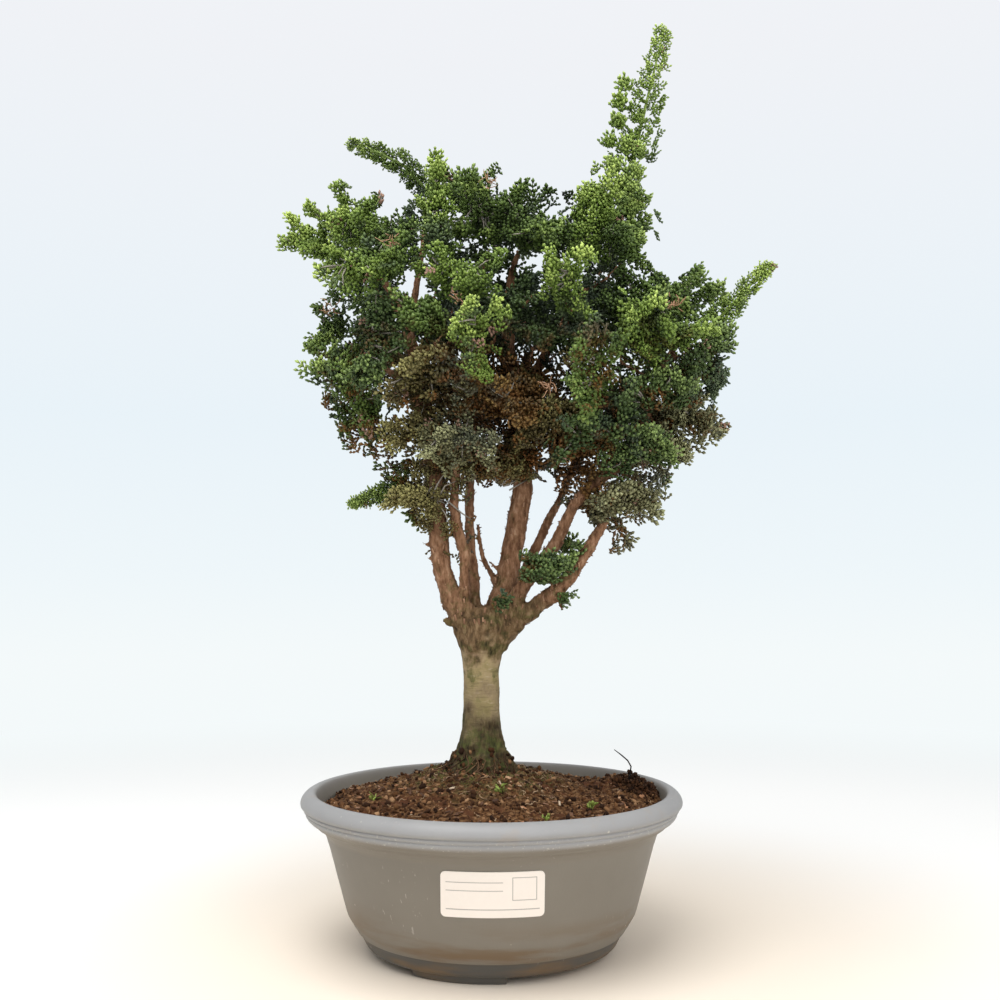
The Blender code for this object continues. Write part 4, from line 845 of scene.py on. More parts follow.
bark_paint = Nodes("bark")
wood = bark_paint.place()
level = split_place(bark_paint, wood)[2]
waver = bark_paint.math("MULTIPLY", bark_paint.math("SUBTRACT", bark_paint.noise(wood, 60.0, 4.0), 0.5), 0.07)
level = bark_paint.math("ADD", level, waver)
fine = bark_paint.noise(bark_paint.place(scale=(1.0, 1.0, 0.35)), 420.0, 5.0, 0.65)
rings = bark_paint.noise(bark_paint.place(scale=(0.16, 0.16, 1.0)), 900.0, 4.0, 0.6)
blotch = bark_paint.noise(wood, 95.0, 5.0, 0.6)
trunk_colour = bark_paint.ramp(
    blotch,
    (
        (0.30, (0.215, 0.175, 0.068)),
        (0.46, (0.330, 0.255, 0.125)),
        (0.60, (0.410, 0.305, 0.175)),
        (0.74, (0.520, 0.370, 0.245)),
    ),
)
wrinkled = bark_paint.math("MULTIPLY", bark_paint.rise(rings, 0.47, 0.36), 0.45)
trunk_colour = bark_paint.mix(wrinkled, trunk_colour, (0.150, 0.110, 0.055, 1.0))
pale_ring = bark_paint.math("MULTIPLY", bark_paint.rise(rings, 0.58, 0.68), 0.40)
trunk_colour = bark_paint.mix(pale_ring, trunk_colour, (0.560, 0.450, 0.320, 1.0))
foot_colour = bark_paint.ramp(
    fine, ((0.32, (0.010, 0.007, 0.003)), (0.50, (0.048, 0.032, 0.012)), (0.66, (0.120, 0.085, 0.040)), (0.80, (0.26, 0.19, 0.11)))
)
limb_colour = bark_paint.ramp(
    fine,
    (
        (0.28, (0.070, 0.028, 0.013)),
        (0.44, (0.185, 0.090, 0.045)),
        (0.58, (0.300, 0.160, 0.088)),
        (0.74, (0.450, 0.285, 0.180)),
    ),
)
fork_colour = bark_paint.ramp(
    fine, ((0.30, (0.030, 0.018, 0.008)), (0.50, (0.150, 0.090, 0.042)), (0.72, (0.330, 0.220, 0.120)))
)
foot_edge = bark_paint.math("ADD", level, bark_paint.math("MULTIPLY", blotch, -0.075))
bark_colour = bark_paint.mix(bark_paint.rise(foot_edge, 0.066, 0.114), foot_colour, trunk_colour)
bark_colour = bark_paint.mix(bark_paint.rise(level, 0.152, 0.166), bark_colour, fork_colour)
bark_colour = bark_paint.mix(bark_paint.rise(level, 0.178, 0.198), bark_colour, limb_colour)
moss_field = bark_paint.noise(wood, 120.0, 6.0, 0.66)
moss_low = bark_paint.math("MULTIPLY", bark_paint.rise(moss_field, 0.46, 0.60), bark_paint.rise(level, 0.144, 0.116))
moss_fork = bark_paint.math("MULTIPLY", bark_paint.rise(moss_field, 0.47, 0.62), band(bark_paint, level, 0.150, 0.206))
moss_side = bark_paint.math("MULTIPLY", bark_paint.rise(moss_field, 0.56, 0.66), 0.45)
moss_share = bark_paint.math("MAXIMUM", bark_paint.math("MAXIMUM", moss_low, bark_paint.math("MULTIPLY", moss_fork, 0.75)), moss_side)
moss_tint = bark_paint.ramp(fine, ((0.35, (0.018, 0.024, 0.005)), (0.72, (0.105, 0.120, 0.026))))
bark_colour = bark_paint.mix(bark_paint.math("MULTIPLY", moss_share, 0.8), bark_colour, moss_tint)
rough_bark = bark_paint.bump(fine, 0.9, 0.0011)
rough_bark = bark_paint.bump(rings, 0.30, 0.0004, rough_bark)
bark.data.materials.append(bark_paint.surface(bark_colour, 0.85, rough_bark, Specular_IOR_Level=0.25))
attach(bark, "root")
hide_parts("tree")


# Thorns and flakes
# Dead leaf scales and the stumps of shed side twigs stay on both edges of the limbs,
# with thin curls of peeling bark between them.

bark_tree = BVHTree.FromObject(bark, bpy.context.evaluated_depsgraph_get())
bark_faces = bark.data.polygons
face_places = np.array([f.center for f in bark_faces])
face_normals = np.array([f.normal for f in bark_faces])
exposed = np.nonzero((face_places[:, 2] > 0.176) & (face_places[:, 2] < 0.33))[0]
thorn = add("cone", "thorn", vertices=4, radius1=1.0, radius2=0.25, depth=1.0, location=(0.0, 0.0, 0.5))
thorn_shape = shape_of(thorn)
frames, tones = [], []
for index in draw.choice(exposed, 2000, replace=False):
    spot, out = Vector(face_places[index]), Vector(face_normals[index])
    side = abs(out.x) > 0.45 or draw.random() < 0.25
    if not side:
        continue
    lean = (out + Vector((0.0, 0.0, 0.55)) + random_way() * 0.35).normalized()
    long = 0.0009 + 0.0024 * draw.random() ** 1.8
    wide = 0.00035 + 0.13 * long
    frames.append(turned_frame(lean, draw.random() * 6.3, (wide * 0.8, wide, long), spot - out * 0.0003))
    tones.append(draw.uniform(0.1, 0.8))
thorns = many("limb_thorns", thorn_shape, frames, tones, thorn_shape[0][:, 2])
flake = add("cube", "flake", size=1.0)
bpy.ops.object.mode_set(mode="EDIT")
bpy.ops.mesh.select_all(action="SELECT")
bpy.ops.transform.resize(value=(0.5, 0.10, 1.0))
bpy.ops.mesh.bisect(plane_co=(0.0, 0.0, 0.1), plane_no=(0.0, 0.0, 1.0))
bpy.ops.object.mode_set(mode="OBJECT")
flake_shape = shape_of(flake)
flake_shape[0][:, 1] += 0.22 * (flake_shape[0][:, 2] + 0.5) ** 2
frames, tones = [], []
for index in draw.choice(exposed, 520, replace=False):
    spot, out = Vector(face_places[index]), Vector(face_normals[index])
    along = Vector((0.0, 0.0, 1.0)) - out * out.z + random_way() * 0.25
    along.normalize()
    across = out.cross(along).normalized()
    raised = along.cross(across).normalized()
    if raised.dot(out) < 0:
        raised = -raised
    long = draw.uniform(0.0012, 0.0034)
    frames.append([tuple(across * long * 0.7), tuple(raised * long), tuple(along * long), tuple(spot + out * 0.0001)])
    tones.append(draw.uniform(0.35, 0.95))
flakes = many("bark_flakes", flake_shape, frames, tones, np.full(len(flake_shape[0]), 0.6))
dry_paint = Nodes("dry_bark")
tone = split_place(dry_paint, dry_paint.add("ShaderNodeUVMap", uv_map="tone").outputs[0])[1]
dry_colour = dry_paint.ramp(
    tone, ((0.1, (0.060, 0.028, 0.015)), (0.5, (0.205, 0.105, 0.058)), (0.9, (0.430, 0.250, 0.150)))
)
dry_bark = dry_paint.surface(dry_colour, 0.85, Specular_IOR_Level=0.2)
flare = np.nonzero((face_places[:, 2] > 0.084) & (face_places[:, 2] < 0.110))[0]
frames, tones = [], []
for index in draw.choice(flare, 900, replace=False):
    spot, out = Vector(face_places[index]), Vector(face_normals[index])
    if draw.random() < (spot.z - 0.092) / 0.018:
        continue
    size = 0.0004 + 0.0011 * draw.random() ** 2
    stretch = [size * draw.uniform(0.5, 1.6) for _ in range(3)]
    frames.append(turned_frame(random_way(), draw.random() * 6.3, stretch, spot + out * size * 0.3))
    tones.append(0.05 + 0.75 * draw.random() ** 1.5)
litter = many("flare_litter", crumb_shape, frames, tones)
litter.data.materials.append(crumbs.data.materials[0])
roots, tones = [], []
for _ in range(85):
    around = draw.random() * 2 * math.pi
    out, height, path = draw.uniform(0.013, 0.017), draw.uniform(0.095, 0.108), []
    for step in range(8):
        around += draw.normal() * 0.16
        place = Vector((TRUNK_SPOT[0] + out * math.cos(around), out * math.sin(around), height))
        skin, skin_out, _, skin_gap = bark_tree.find_nearest(place)
        ground_spot, ground_out, _, ground_gap = soil_tree.find_nearest(place)
        near, near_out = (skin, skin_out) if skin_gap < ground_gap else (ground_spot, ground_out)
        path.append(near + near_out * draw.uniform(0.0001, 0.0007))
        out += draw.uniform(0.0012, 0.0032)
        height -= draw.uniform(0.0012, 0.0034)
    thick = draw.uniform(0.00012, 0.00034)
    roots.append(thread(path, [thick] * 5 + [thick * 0.8, thick * 0.6, thick * 0.3], 4))
    tones.append(draw.choice((0.15, 0.28, 0.45), p=(0.4, 0.4, 0.2)))
root_ends = from_threads("surface_roots", roots, tones)
root_ends.data.materials.append(fibres.data.materials[0])
DEAD_TUFTS = (
    (-0.0154, -0.072, 0.344), (-0.0529, -0.052, 0.380), (0.0966, -0.053, 0.346), (-0.001, -0.036, 0.4176),
    (-0.0893, -0.026, 0.350), (0.030, -0.062, 0.300), (0.060, 0.054, 0.360), (-0.040, 0.050, 0.338),
)
twiglets, tones = [], []
for x, y, z in DEAD_TUFTS:
    for _ in range(15):
        way = random_way(0.4)
        path = [Vector((POT_X + x, y, z)) + Vector(draw.normal(size=3) * 0.0017)]
        for _ in range(3):
            way = (way + random_way() * 0.5).normalized()
            path.append(path[-1] + way * draw.uniform(0.0009, 0.0021))
        twiglets.append(thread(path, (0.00034, 0.00030, 0.00025, 0.00016)))
        tones.append(draw.uniform(0.70, 0.95))
dead_twiglets = from_threads("dead_twiglets", twiglets, tones)
for piece in (thorns, flakes, dead_twiglets):
    piece.data.materials.append(dry_bark)
for piece in (thorns, flakes, litter, root_ends, dead_twiglets):
    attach(piece, "root")


# Foliage
# Every branchlet ends in a cupped fan of small blunt scales, bright at the tips, dark and
# brown inside, with painted light and shade in each fan's tone: brighter on the crown's
# outside, darker within it. Each spray grows as one piece on its twig, with silvery dead
# twiglets in it.

LEAF_COLOURS = {
    "tip": ((0.022, 0.045, 0.008), (0.165, 0.250, 0.040), (0.560, 0.700, 0.170)),
    "green": ((0.014, 0.028, 0.007), (0.100, 0.160, 0.030), (0.430, 0.560, 0.140)),
    "deep": ((0.008, 0.015, 0.006), (0.055, 0.092, 0.024), (0.280, 0.380, 0.110)),
    "blue": ((0.010, 0.016, 0.009), (0.052, 0.080, 0.040), (0.240, 0.320, 0.150)),
    "grey": ((0.042, 0.036, 0.016), (0.170, 0.162, 0.076), (0.440, 0.450, 0.230)),
    "olive": ((0.034, 0.022, 0.007), (0.140, 0.116, 0.038), (0.390, 0.360, 0.130)),
    "rust": ((0.050, 0.020, 0.006), (0.165, 0.085, 0.022), (0.390, 0.275, 0.085)),
}
SLIM = {
    "spray_spire_top": 0.0155, "spray_far_right": 0.0105, "spray_shoot_low_left": 0.0085,
    "spray_shoot_long": 0.0110,
}
LONG_SHOOT_PATH = ((-0.036, 0.004, 0.424), (-0.050, 0.003, 0.440), (-0.066, 0.001, 0.448), (-0.083, 0.0, 0.452))
ON_LIMB = (
    "spray_column_front", "spray_column_mid", "spray_column_low", "spray_inner_rust",
    "spray_rust_right", "spray_main_low", "spray_centre_low", "spray_left_hang",
)
OWN_PAINT = {"spray_main_low": "olive", "spray_low_tuft": "deep"}
BARE_BELOW = {"spray_main_low": 0.258, "spray_centre_low": 0.258}
TAPERED = {
    "spray_spire_left": (1.0, 0.30), "spray_shoot_yellow": (0.95, 0.42),
    "spray_spire_lower": (1.08, 0.95), "spray_left_tip": (1.0, 0.42), "spray_left_crown": (1.0, 0.75),
    "spray_dome_left": (1.0, 0.60), "spray_fan_bright": (1.0, 0.75), "spray_crown_notch": (1.0, 0.60),
    "spray_low_left_top": (1.0, 0.45), "spray_tips_right": (1.0, 0.60), "spray_left_crown_right": (1.0, 0.85),
    "spray_tuft_front": (1.0, 0.60), "spray_front_bright": (1.0, 0.80), "spray_column_front": (0.80, 0.50),
    "spray_column_mid": (0.85, 0.62), "spray_column_low": (0.85, 0.50), "spray_main_low": (0.90, 0.70),
}
# Painted shade taken off each spray's tone; below zero it is painted light.
SHADED = {
    "spray_dome_top": 0.10, "spray_dome_right": 0.06, "spray_dome_back": 0.20, "spray_centre_inner": 0.20,
    "spray_centre_back": 0.20, "spray_back_centre": 0.18, "spray_spire_back": 0.14, "spray_crown_notch": 0.08,
    "spray_centre_right": 0.12, "spray_left_back": 0.10, "spray_low_left_back": 0.12, "spray_back_right": 0.12,
    "spray_block_top": 0.22, "spray_front_left": 0.12, "spray_low_left_bunch": 0.08, "spray_front_right": 0.10,
    "spray_left_front": 0.21, "spray_left_crown": 0.11, "spray_left_crown_right": 0.14, "spray_left_tip": 0.06,
    "spray_block_front": 0.25, "spray_strip_right": 0.22, "spray_block_back": 0.16, "spray_tuft_front": 0.10,
    "spray_low_tuft": -0.08,
    "spray_spire_left": 0.04, "spray_column_front": -0.22, "spray_column_mid": -0.18, "spray_column_low": -0.14,
}
FRONDS_PER_METRE2 = 34000.0
FEWEST, MOST = 110, 190
FILL_FANS = 2300
LONGEST_TWIG = 0.020
CROWN_MIDDLE = np.array((POT_X + 0.004, 0.0, 0.345))
CROWN_REACH = np.array((0.125, 0.080, 0.110))
# The dense part of the crown as seen from the front: (x, z) in millimetres on the middle plane
DENSE_OUTLINE = (
    (-94, 369), (-83, 376), (-61, 374), (-52, 356), (-40, 356), (-34, 388), (-20, 394), (-6, 388),
    (16, 385), (30, 366), (36, 350), (41, 372), (61, 390), (83, 374), (80, 360), (76, 346),
    (88, 345), (108, 346), (112, 326), (116, 310), (124, 309), (136, 286), (120, 276), (108, 272),
    (98, 250), (84, 218), (72, 210), (66, 232), (54, 240), (38, 246), (27, 226), (16, 232),
    (6, 250), (-3, 256), (-11, 256), (-12, 200), (-30, 196), (-39, 222), (-55, 256), (-66, 268),
    (-84, 276), (-92, 292), (-96, 314), (-84, 326), (-76, 334), (-90, 342), (-98, 354),
)
SILVER, DEAD = 0.905, 0.965

# One scale: a blunt bud, widest near its tip
BUD_POINTS = np.array(
    [(0.0, 0.0, 0.0)]
    + [(math.cos(math.radians(120 * k + 90)), math.sin(math.radians(120 * k + 90)), 0.64) for k in range(3)]
    + [(0.0, 0.0, 1.0)]
)
BUD_FACES = [(0, 2, 1), (0, 3, 2), (0, 1, 3), (1, 2, 4), (2, 3, 4), (3, 1, 4)]

# Fans of scales: for each scale its foot (side, up), its turn in degrees and its length
FANS = (
    ((0, 0.05, 0, 0.34), (0, 0.32, -6, 0.32), (0.01, 0.60, 4, 0.40), (0.03, 0.10, 55, 0.34),
     (0.23, 0.24, 38, 0.36), (-0.03, 0.14, -52, 0.34), (-0.24, 0.28, -34, 0.34),
     (0.04, 0.42, 40, 0.36), (-0.04, 0.44, -40, 0.34)),
    ((0, 0.0, 10, 0.36), (0.05, 0.30, 4, 0.34), (0.06, 0.58, 10, 0.38), (-0.02, 0.08, -60, 0.36),
     (-0.26, 0.20, -42, 0.36), (0.06, 0.22, 58, 0.34), (0.28, 0.34, 36, 0.32),
     (-0.02, 0.36, -38, 0.38), (-0.20, 0.52, -16, 0.30)),
    ((0, 0.04, -8, 0.34), (-0.04, 0.32, -4, 0.36), (-0.06, 0.62, -10, 0.36), (0.02, 0.12, 48, 0.38),
     (0.24, 0.32, 24, 0.38), (-0.06, 0.20, -62, 0.32), (-0.28, 0.30, -38, 0.34),
     (0.0, 0.44, 34, 0.36)),
)


def fan_of(scales):
    """The points, faces and shares along the fan of one cupped fan of scales."""
    points, faces, shares = [], [], []
    for side, up, turn, long in scales:
        bud = BUD_POINTS * np.array([0.36, 0.27, 1.0]) * long
        spin = np.array(Matrix.Rotation(math.radians(turn), 3, "Y"))
        bud = bud @ spin.T + np.array([side, 0.0, up])
        bud[:, 1] += 0.30 * (bud[:, 0] ** 2 + (bud[:, 2] - 0.3) ** 2) + 0.03 * math.sin(turn * 3.1 + up * 9.0)
        faces.extend(tuple(c + len(points) * 5 for c in face) for face in BUD_FACES)
        points.append(bud)
        shares.append(np.clip(0.55 * BUD_POINTS[:, 2] + 0.5 * bud[:, 2], 0.0, 1.0))
    return np.concatenate(points), faces, np.concatenate(shares)


FAN_SHAPES = [fan_of(scales) for scales in FANS]

# Shared by every leaf colour: root, body and tip colours blended along each fan and by
# each fan's tone, which carries painted light and shade, with weathered blue-grey patches,
# silvery twiglets and dead brown tips
leaf_shade = Nodes(
    "leaf_shade", {"Root": "Color", "Body": "Color", "Tip": "Color"}, {"Color": "Color"}
)
tone_parts = split_place(leaf_shade, leaf_shade.add("ShaderNodeUVMap", uv_map="tone").outputs[0])
share = leaf_shade.math(
    "ADD", leaf_shade.math("MULTIPLY", tone_parts[0], 0.52), leaf_shade.math("MULTIPLY", tone_parts[1], 0.60)
)
leaf_colour = leaf_shade.mix(leaf_shade.rise(share, 0.10, 0.56), leaf_shade.given["Root"], leaf_shade.given["Body"])
leaf_colour = leaf_shade.mix(leaf_shade.rise(share, 0.50, 1.00), leaf_colour, leaf_shade.given["Tip"])
weathered = leaf_shade.rise(leaf_shade.noise(leaf_shade.place(), 34.0, 2.0), 0.56, 0.66)
weathered = leaf_shade.math("MULTIPLY", weathered, leaf_shade.rise(share, 0.85, 0.45))
leaf_colour = leaf_shade.mix(leaf_shade.math("MULTIPLY", weathered, 0.55), leaf_colour, (0.075, 0.100, 0.078, 1.0))
leaf_height = split_place(leaf_shade, leaf_shade.place())[2]
inner_dry = leaf_shade.math("MULTIPLY", leaf_shade.rise(share, 0.50, 0.30), leaf_shade.rise(leaf_height, 0.350, 0.300))
dry_patch = leaf_shade.rise(leaf_shade.noise(leaf_shade.place(), 60.0, 2.0), 0.42, 0.58)
leaf_colour = leaf_shade.mix(
    leaf_shade.math("MULTIPLY", leaf_shade.math("MULTIPLY", inner_dry, dry_patch), 0.8), leaf_colour, (0.210, 0.086, 0.020, 1.0)
)
leaf_colour = leaf_shade.mix(leaf_shade.rise(tone_parts[1], 0.885, 0.90), leaf_colour, (0.300, 0.270, 0.225, 1.0))
leaf_colour = leaf_shade.mix(leaf_shade.rise(tone_parts[1], 0.945, 0.96), leaf_colour, (0.360, 0.215, 0.150, 1.0))
leaf_shade.set(leaf_shade.result["Color"], leaf_colour)


def leaf_paint(name, root, body, tip):
    paint = Nodes("leaf_" + name)
    shade = paint.shared(leaf_shade, Root=(*root, 1.0), Body=(*body, 1.0), Tip=(*tip, 1.0))
    return paint.surface(shade["Color"], 0.5, Specular_IOR_Level=0.35)


PAINTS = {name: leaf_paint(name, *colours) for name, colours in LEAF_COLOURS.items()}


def colour_of(node):
    """The leaf colour that the node's own material slot names."""
    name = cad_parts[node].data.materials[0].name
    for key in LEAF_COLOURS:
        if "leaf_" + key in name:
            return key
    return "green"


def faced_frame(way, face, size, place):
    """A frame that points along way, with its broad side towards face."""
    over = (face - way * face.dot(way)).normalized()
    side = over.cross(way)
    return [tuple(side * size[0]), tuple(over * size[1]), tuple(way * size[2]), tuple(place)]


class Spray:
    """The surface of one spray's solid, for placing fans on it."""

    def __init__(self, node):
        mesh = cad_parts[node].data
        mesh.calc_loop_triangles()
        points = np.array([v.co for v in mesh.vertices], float)
        corners = np.array([t.vertices for t in mesh.loop_triangles])
        self.a, self.b, self.c = (points[corners[:, k]] for k in range(3))
        cross = np.cross(self.b - self.a, self.c - self.a)
        area = np.linalg.norm(cross, axis=1) / 2
        self.area = area.sum()
        self.odds = area / self.area
        self.outward = cross / np.maximum(area[:, None] * 2, 1e-12)
        self.middle = points.mean(0)
        _, _, axes = np.linalg.svd(points - self.middle, full_matrices=False)
        self.axis = axes[0]
        if np.dot(self.axis, self.middle - CROWN_MIDDLE) < 0:
            self.axis = -self.axis
        along = (points - self.middle) @ self.axis
        self.low, self.high = along.min(), along.max()
        self.root = points[along < np.quantile(along, 0.05)].mean(0)
        self.end = points[along > np.quantile(along, 0.97)].mean(0)

    def spot(self, draw):
        """A random point of the surface, and the outward direction there."""
        t = draw.choice(len(self.odds), p=self.odds)
        s, r = draw.random(2)
        if s + r > 1:
            s, r = 1 - s, 1 - r
        return self.a[t] + (self.b[t] - self.a[t]) * s + (self.c[t] - self.a[t]) * r, self.outward[t]


def inside(x, z, outline):
    """Whether a point lies inside a closed outline."""
    hits = 0
    for (x0, z0), (x1, z1) in zip(outline, outline[1:] + outline[:1]):
        if (z0 > z) != (z1 > z) and x < x0 + (x1 - x0) * (z - z0) / (z1 - z0):
            hits += 1
    return hits % 2 == 1


SPRAY_NODES = sorted(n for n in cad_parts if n.startswith("spray_"))
SPRAYS = {node: Spray(node) for node in SPRAY_NODES}
draw = np.random.default_rng(11)
MARKS = np.array([SPRAYS[node].spot(draw)[0] for node in SPRAY_NODES for _ in range(40)])
MARK_OWNER = np.repeat(np.arange(len(SPRAY_NODES)), 40)

# Shaded inner fans fill the crown between the sprays. Each belongs to the spray nearest to it.
EYE = np.array(CAMERA_PLACE)
fill_spots = [[] for _ in SPRAY_NODES]
placed = 0
while placed < FILL_FANS:
    x, z = draw.uniform(-100, 140), draw.uniform(195, 396)
    if not inside(x, z, DENSE_OUTLINE):
        continue
    flat_spot = np.array((POT_X + x / 1000, 0.0, z / 1000))
    depth = draw.uniform(-0.012, 0.048)
    spot = EYE + (flat_spot - EYE) * (depth - EYE[1]) / -EYE[1]
    gap = np.linalg.norm(MARKS - spot, axis=1)
    if gap.min() < 0.026:
        fill_spots[MARK_OWNER[gap.argmin()]].append((spot, 0.26))
        placed += 1

# Small tufts off the sprays' own twigs: spray, place, reach and number of fans
TUFTS = (
    ("low_tuft", (0.031, -0.030, 0.210), 0.0098, 50), ("low_tuft", (0.0074, -0.024, 0.190), 0.0040, 10),
    ("low_tuft", (0.0446, 0.004, 0.2235), 0.0062, 16), ("low_tuft", (0.0415, -0.012, 0.1915), 0.0036, 8),
    ("spire_top", (0.0772, 0.0, 0.488), 0.0032, 9), ("spire_top", (0.074, 0.0, 0.4773), 0.0034, 9),
    ("spire_top", (0.073, 0.0, 0.4667), 0.0038, 11), ("spire_top", (0.0682, 0.0, 0.4542), 0.0038, 11),
    ("spire_lower", (0.0841, 0.0, 0.4501), 0.0044, 15), ("spire_lower", (0.0769, 0.0, 0.4548), 0.0042, 14),
    ("spire_lower", (0.0831, 0.0, 0.4383), 0.0048, 20), ("spire_lower", (0.0693, 0.0, 0.443), 0.0044, 13),
    ("spire_lower", (0.0816, 0.0, 0.4165), 0.0055, 24), ("spire_lower", (0.076, 0.0, 0.430), 0.0060, 24),
    ("left_crown", (-0.0867, -0.014, 0.4241), 0.0034, 10), ("left_crown", (-0.0845, -0.014, 0.4177), 0.0040, 12),
    ("left_tip", (-0.1182, 0.0, 0.4112), 0.0024, 6), ("left_tip", (-0.1132, 0.0, 0.4077), 0.0032, 9),
    ("left_tip", (-0.1078, 0.0, 0.4019), 0.0038, 12),
)
tuft_twigs = {"spray_" + owner: [] for owner, _, _, _ in TUFTS}
for owner, place, reach, count in TUFTS:
    middle = np.array((POT_X, 0.0, 0.0)) + place
    spray = SPRAYS["spray_" + owner]
    start = spray.middle + spray.axis * ((middle - spray.middle).dot(spray.axis) - 0.006)
    if owner == "low_tuft":
        start = face_places[np.linalg.norm(face_places - middle, axis=1).argmin()]
    tuft_twigs["spray_" + owner].append([Vector(start), Vector((start + middle) / 2 + (0, 0, 0.001)), Vector(middle)])
    for _ in range(count):
        step = draw.normal(size=3)
        step *= reach * draw.random() ** 0.4 / np.linalg.norm(step)
        spot = middle + step * np.array((1.0, 0.8, 0.8))
        fill_spots[SPRAY_NODES.index("spray_" + owner)].append((spot, 0.0))

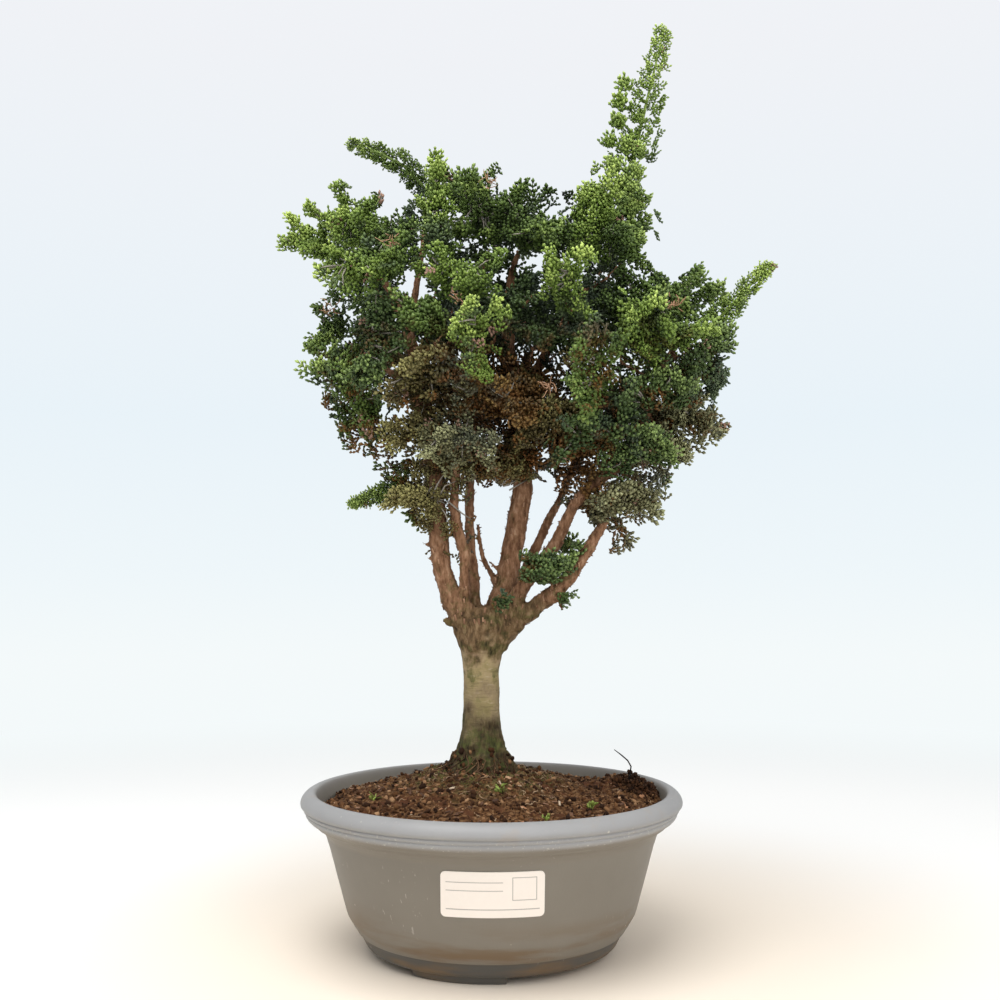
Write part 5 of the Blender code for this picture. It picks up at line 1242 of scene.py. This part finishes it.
for number, node in enumerate(SPRAY_NODES):
    spray = SPRAYS[node]
    draw = np.random.default_rng(100 + number)
    slim = node in SLIM
    colour = colour_of(node)
    paint = PAINTS[OWN_PAINT.get(node, colour)]
    amount = 195 if slim else int(min(max(spray.area * FRONDS_PER_METRE2, FEWEST), MOST))
    if node in ON_LIMB:
        amount += 60
    own_tone = draw.normal() * 0.03
    others = MARKS[MARK_OWNER != number]
    if node in ON_LIMB:
        own = MARKS[MARK_OWNER == number]
        gap = np.linalg.norm(face_places - own.mean(0), axis=1)
        lowest = BARE_BELOW.get(node, 0.222)
        near_limb = np.nonzero((gap < 0.036) & (face_normals[:, 1] < 0.5) & (face_places[:, 2] > lowest))[0]
    line_points = [spray.root, (spray.root + spray.end) / 2, spray.end]
    if node == "spray_shoot_long":
        line_points = [np.array((POT_X + x, y, z)) for x, y, z in LONG_SHOOT_PATH]
    groups = [([], []) for _ in FAN_SHAPES]
    twigs = [thread(path, (0.0009, 0.0008, 0.0006)) for path in tuft_twigs.get(node, [])]
    twig_tones = [0.30] * len(twigs)
    for k in range(amount + len(fill_spots[number])):
        shade = 0.0
        filled = k >= amount
        if slim and not filled:
            t = (k + draw.random()) / amount
            turn = draw.random() * 2 * math.pi
            over = np.cross(spray.axis, (0.0, 1.0, 0.0))
            over = over / np.linalg.norm(over)
            out = over * math.cos(turn) + np.cross(spray.axis, over) * math.sin(turn) * 0.8
            reach = SLIM[node] * (1.0 - 0.72 * t) * draw.random() ** 0.5
            leg = t * (len(line_points) - 1)
            first = min(int(leg), len(line_points) - 2)
            on_line = line_points[first] + (line_points[first + 1] - line_points[first]) * (leg - first)
            spot = on_line + out * reach
            slope = out
            size = draw.uniform(0.0055, 0.0078) * (1.0 - 0.2 * t)
            tone_value = 0.22 + 0.42 * t + draw.normal() * 0.10
        else:
            # Fans pushed inwards, towards a neighbouring spray, onto the limbs or filling the crown get painted shade
            # (shade).
            spot, slope = spray.spot(draw)
            kind = 1.0 if filled else draw.random()
            if filled:
                spot, shade = fill_spots[number][k - amount]
            elif kind < 0.27:
                other, _ = spray.spot(draw)
                spot = spot + (other - spot) * draw.uniform(0.15, 0.5)
                shade = 0.16
            elif kind < 0.38 and node not in TAPERED:
                gap = np.linalg.norm(others - spot, axis=1)
                near = np.nonzero((gap > 0.005) & (gap < 0.027))[0]
                if len(near):
                    spot = spot + (others[draw.choice(near)] - spot) * draw.uniform(0.25, 0.55)
                    shade = 0.20
            elif kind < 0.70 and node in ON_LIMB:
                pick_one = draw.choice(near_limb)
                slope = face_normals[pick_one]
                spot = face_places[pick_one] + slope * draw.uniform(0.001, 0.006)
                shade = 0.08
            offset = spot - spray.middle
            radial = offset - spray.axis * offset.dot(spray.axis)
            out = radial / max(np.linalg.norm(radial), 1e-6)
            t = (offset.dot(spray.axis) - spray.low) / (spray.high - spray.low)
            if node in TAPERED and not filled:
                wide, narrow = TAPERED[node]
                spot = spot - radial * (1.0 - wide + (wide - narrow) * t)
            if spot[2] < BARE_BELOW.get(node, 0.0):
                spot = np.array((spot[0], spot[1], 2 * BARE_BELOW[node] - spot[2]))
            size = draw.uniform(0.0080, 0.0112) * (0.85 if node in TAPERED else 1.0)
            # Painted light and shade: fans towards the crown's outer surface are brighter (bright), fans given shade
            # or a SHADED value are darker. Fans low in the crown are also darker (low_down).
            edge = np.linalg.norm((spot - CROWN_MIDDLE) / CROWN_REACH)
            bright = min(max((edge - 0.45) / 0.65, 0.0), 1.0)
            low_down = min(max((0.330 - spot[2]) / 0.05, 0.0), 1.0)
            tone_value = 0.04 + 0.38 * t + 0.36 * bright - 0.06 * low_down - shade
            tone_value += 0.28 * noise.noise(Vector(spot) * 75.0)
            tone_value += own_tone - SHADED.get(node, 0.0) + draw.normal() * 0.10
        way = out * 0.42 + spray.axis * 0.50 + slope * 0.12 + draw.normal(size=3) * 0.27
        way[2] += 0.22
        way = Vector(way).normalized()
        face = Vector(out * 0.8 + slope * 0.4 + draw.normal(size=3) * 0.4 + np.array((0.0, -0.15, 0.25)))
        place = Vector(spot) - way * size * (0.45 if slim else 0.74)
        tone_value = min(max(tone_value, 0.02), 0.86)
        if draw.random() < 0.006:
            tone_value = DEAD
        frames_of, tones_of = groups[draw.integers(len(FAN_SHAPES))]
        flip = -1.0 if draw.random() < 0.5 else 1.0
        side_size = size * draw.uniform(0.9, 1.15)
        made = faced_frame(way, face * flip, (side_size, size, size), place)
        frames_of.append(made)
        tones_of.append(tone_value)
        if k % 7 == 0 and not slim and not filled:
            line = spray.middle + spray.axis * (spot - spray.middle).dot(spray.axis) * 0.6
            bow = Vector((spot + line) / 2) + Vector(draw.normal(size=3) * 0.001)
            twig_tone = SILVER if draw.random() < 0.7 else 0.30
            if np.linalg.norm(spot - line) < LONGEST_TWIG:
                twigs.append(thread([Vector(line), bow, place + way * size * 0.5], (0.0006, 0.0005, 0.00022)))
                twig_tones.append(twig_tone)
    if slim:
        thickness = np.linspace(0.0012, 0.0005, len(line_points))
        twigs.append(thread([Vector(point) for point in line_points], thickness, 5))
        twig_tones.append(0.62)
    parts = []
    for (points, faces, shares), (frames_of, tones_of) in zip(FAN_SHAPES, groups):
        parts.append(many("part", (points, faces), frames_of, tones_of, shares))
    parts.append(from_threads("part", twigs, twig_tones))
    bpy.ops.object.select_all(action="DESELECT")
    for part in parts:
        part.select_set(True)
    bpy.context.view_layer.objects.active = parts[0]
    bpy.ops.object.join()
    leaves = bpy.context.object
    leaves.name = "leaves_" + node.removeprefix("spray_")
    leaves.data.materials.append(paint)
    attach(leaves, "root")
    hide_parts(node)
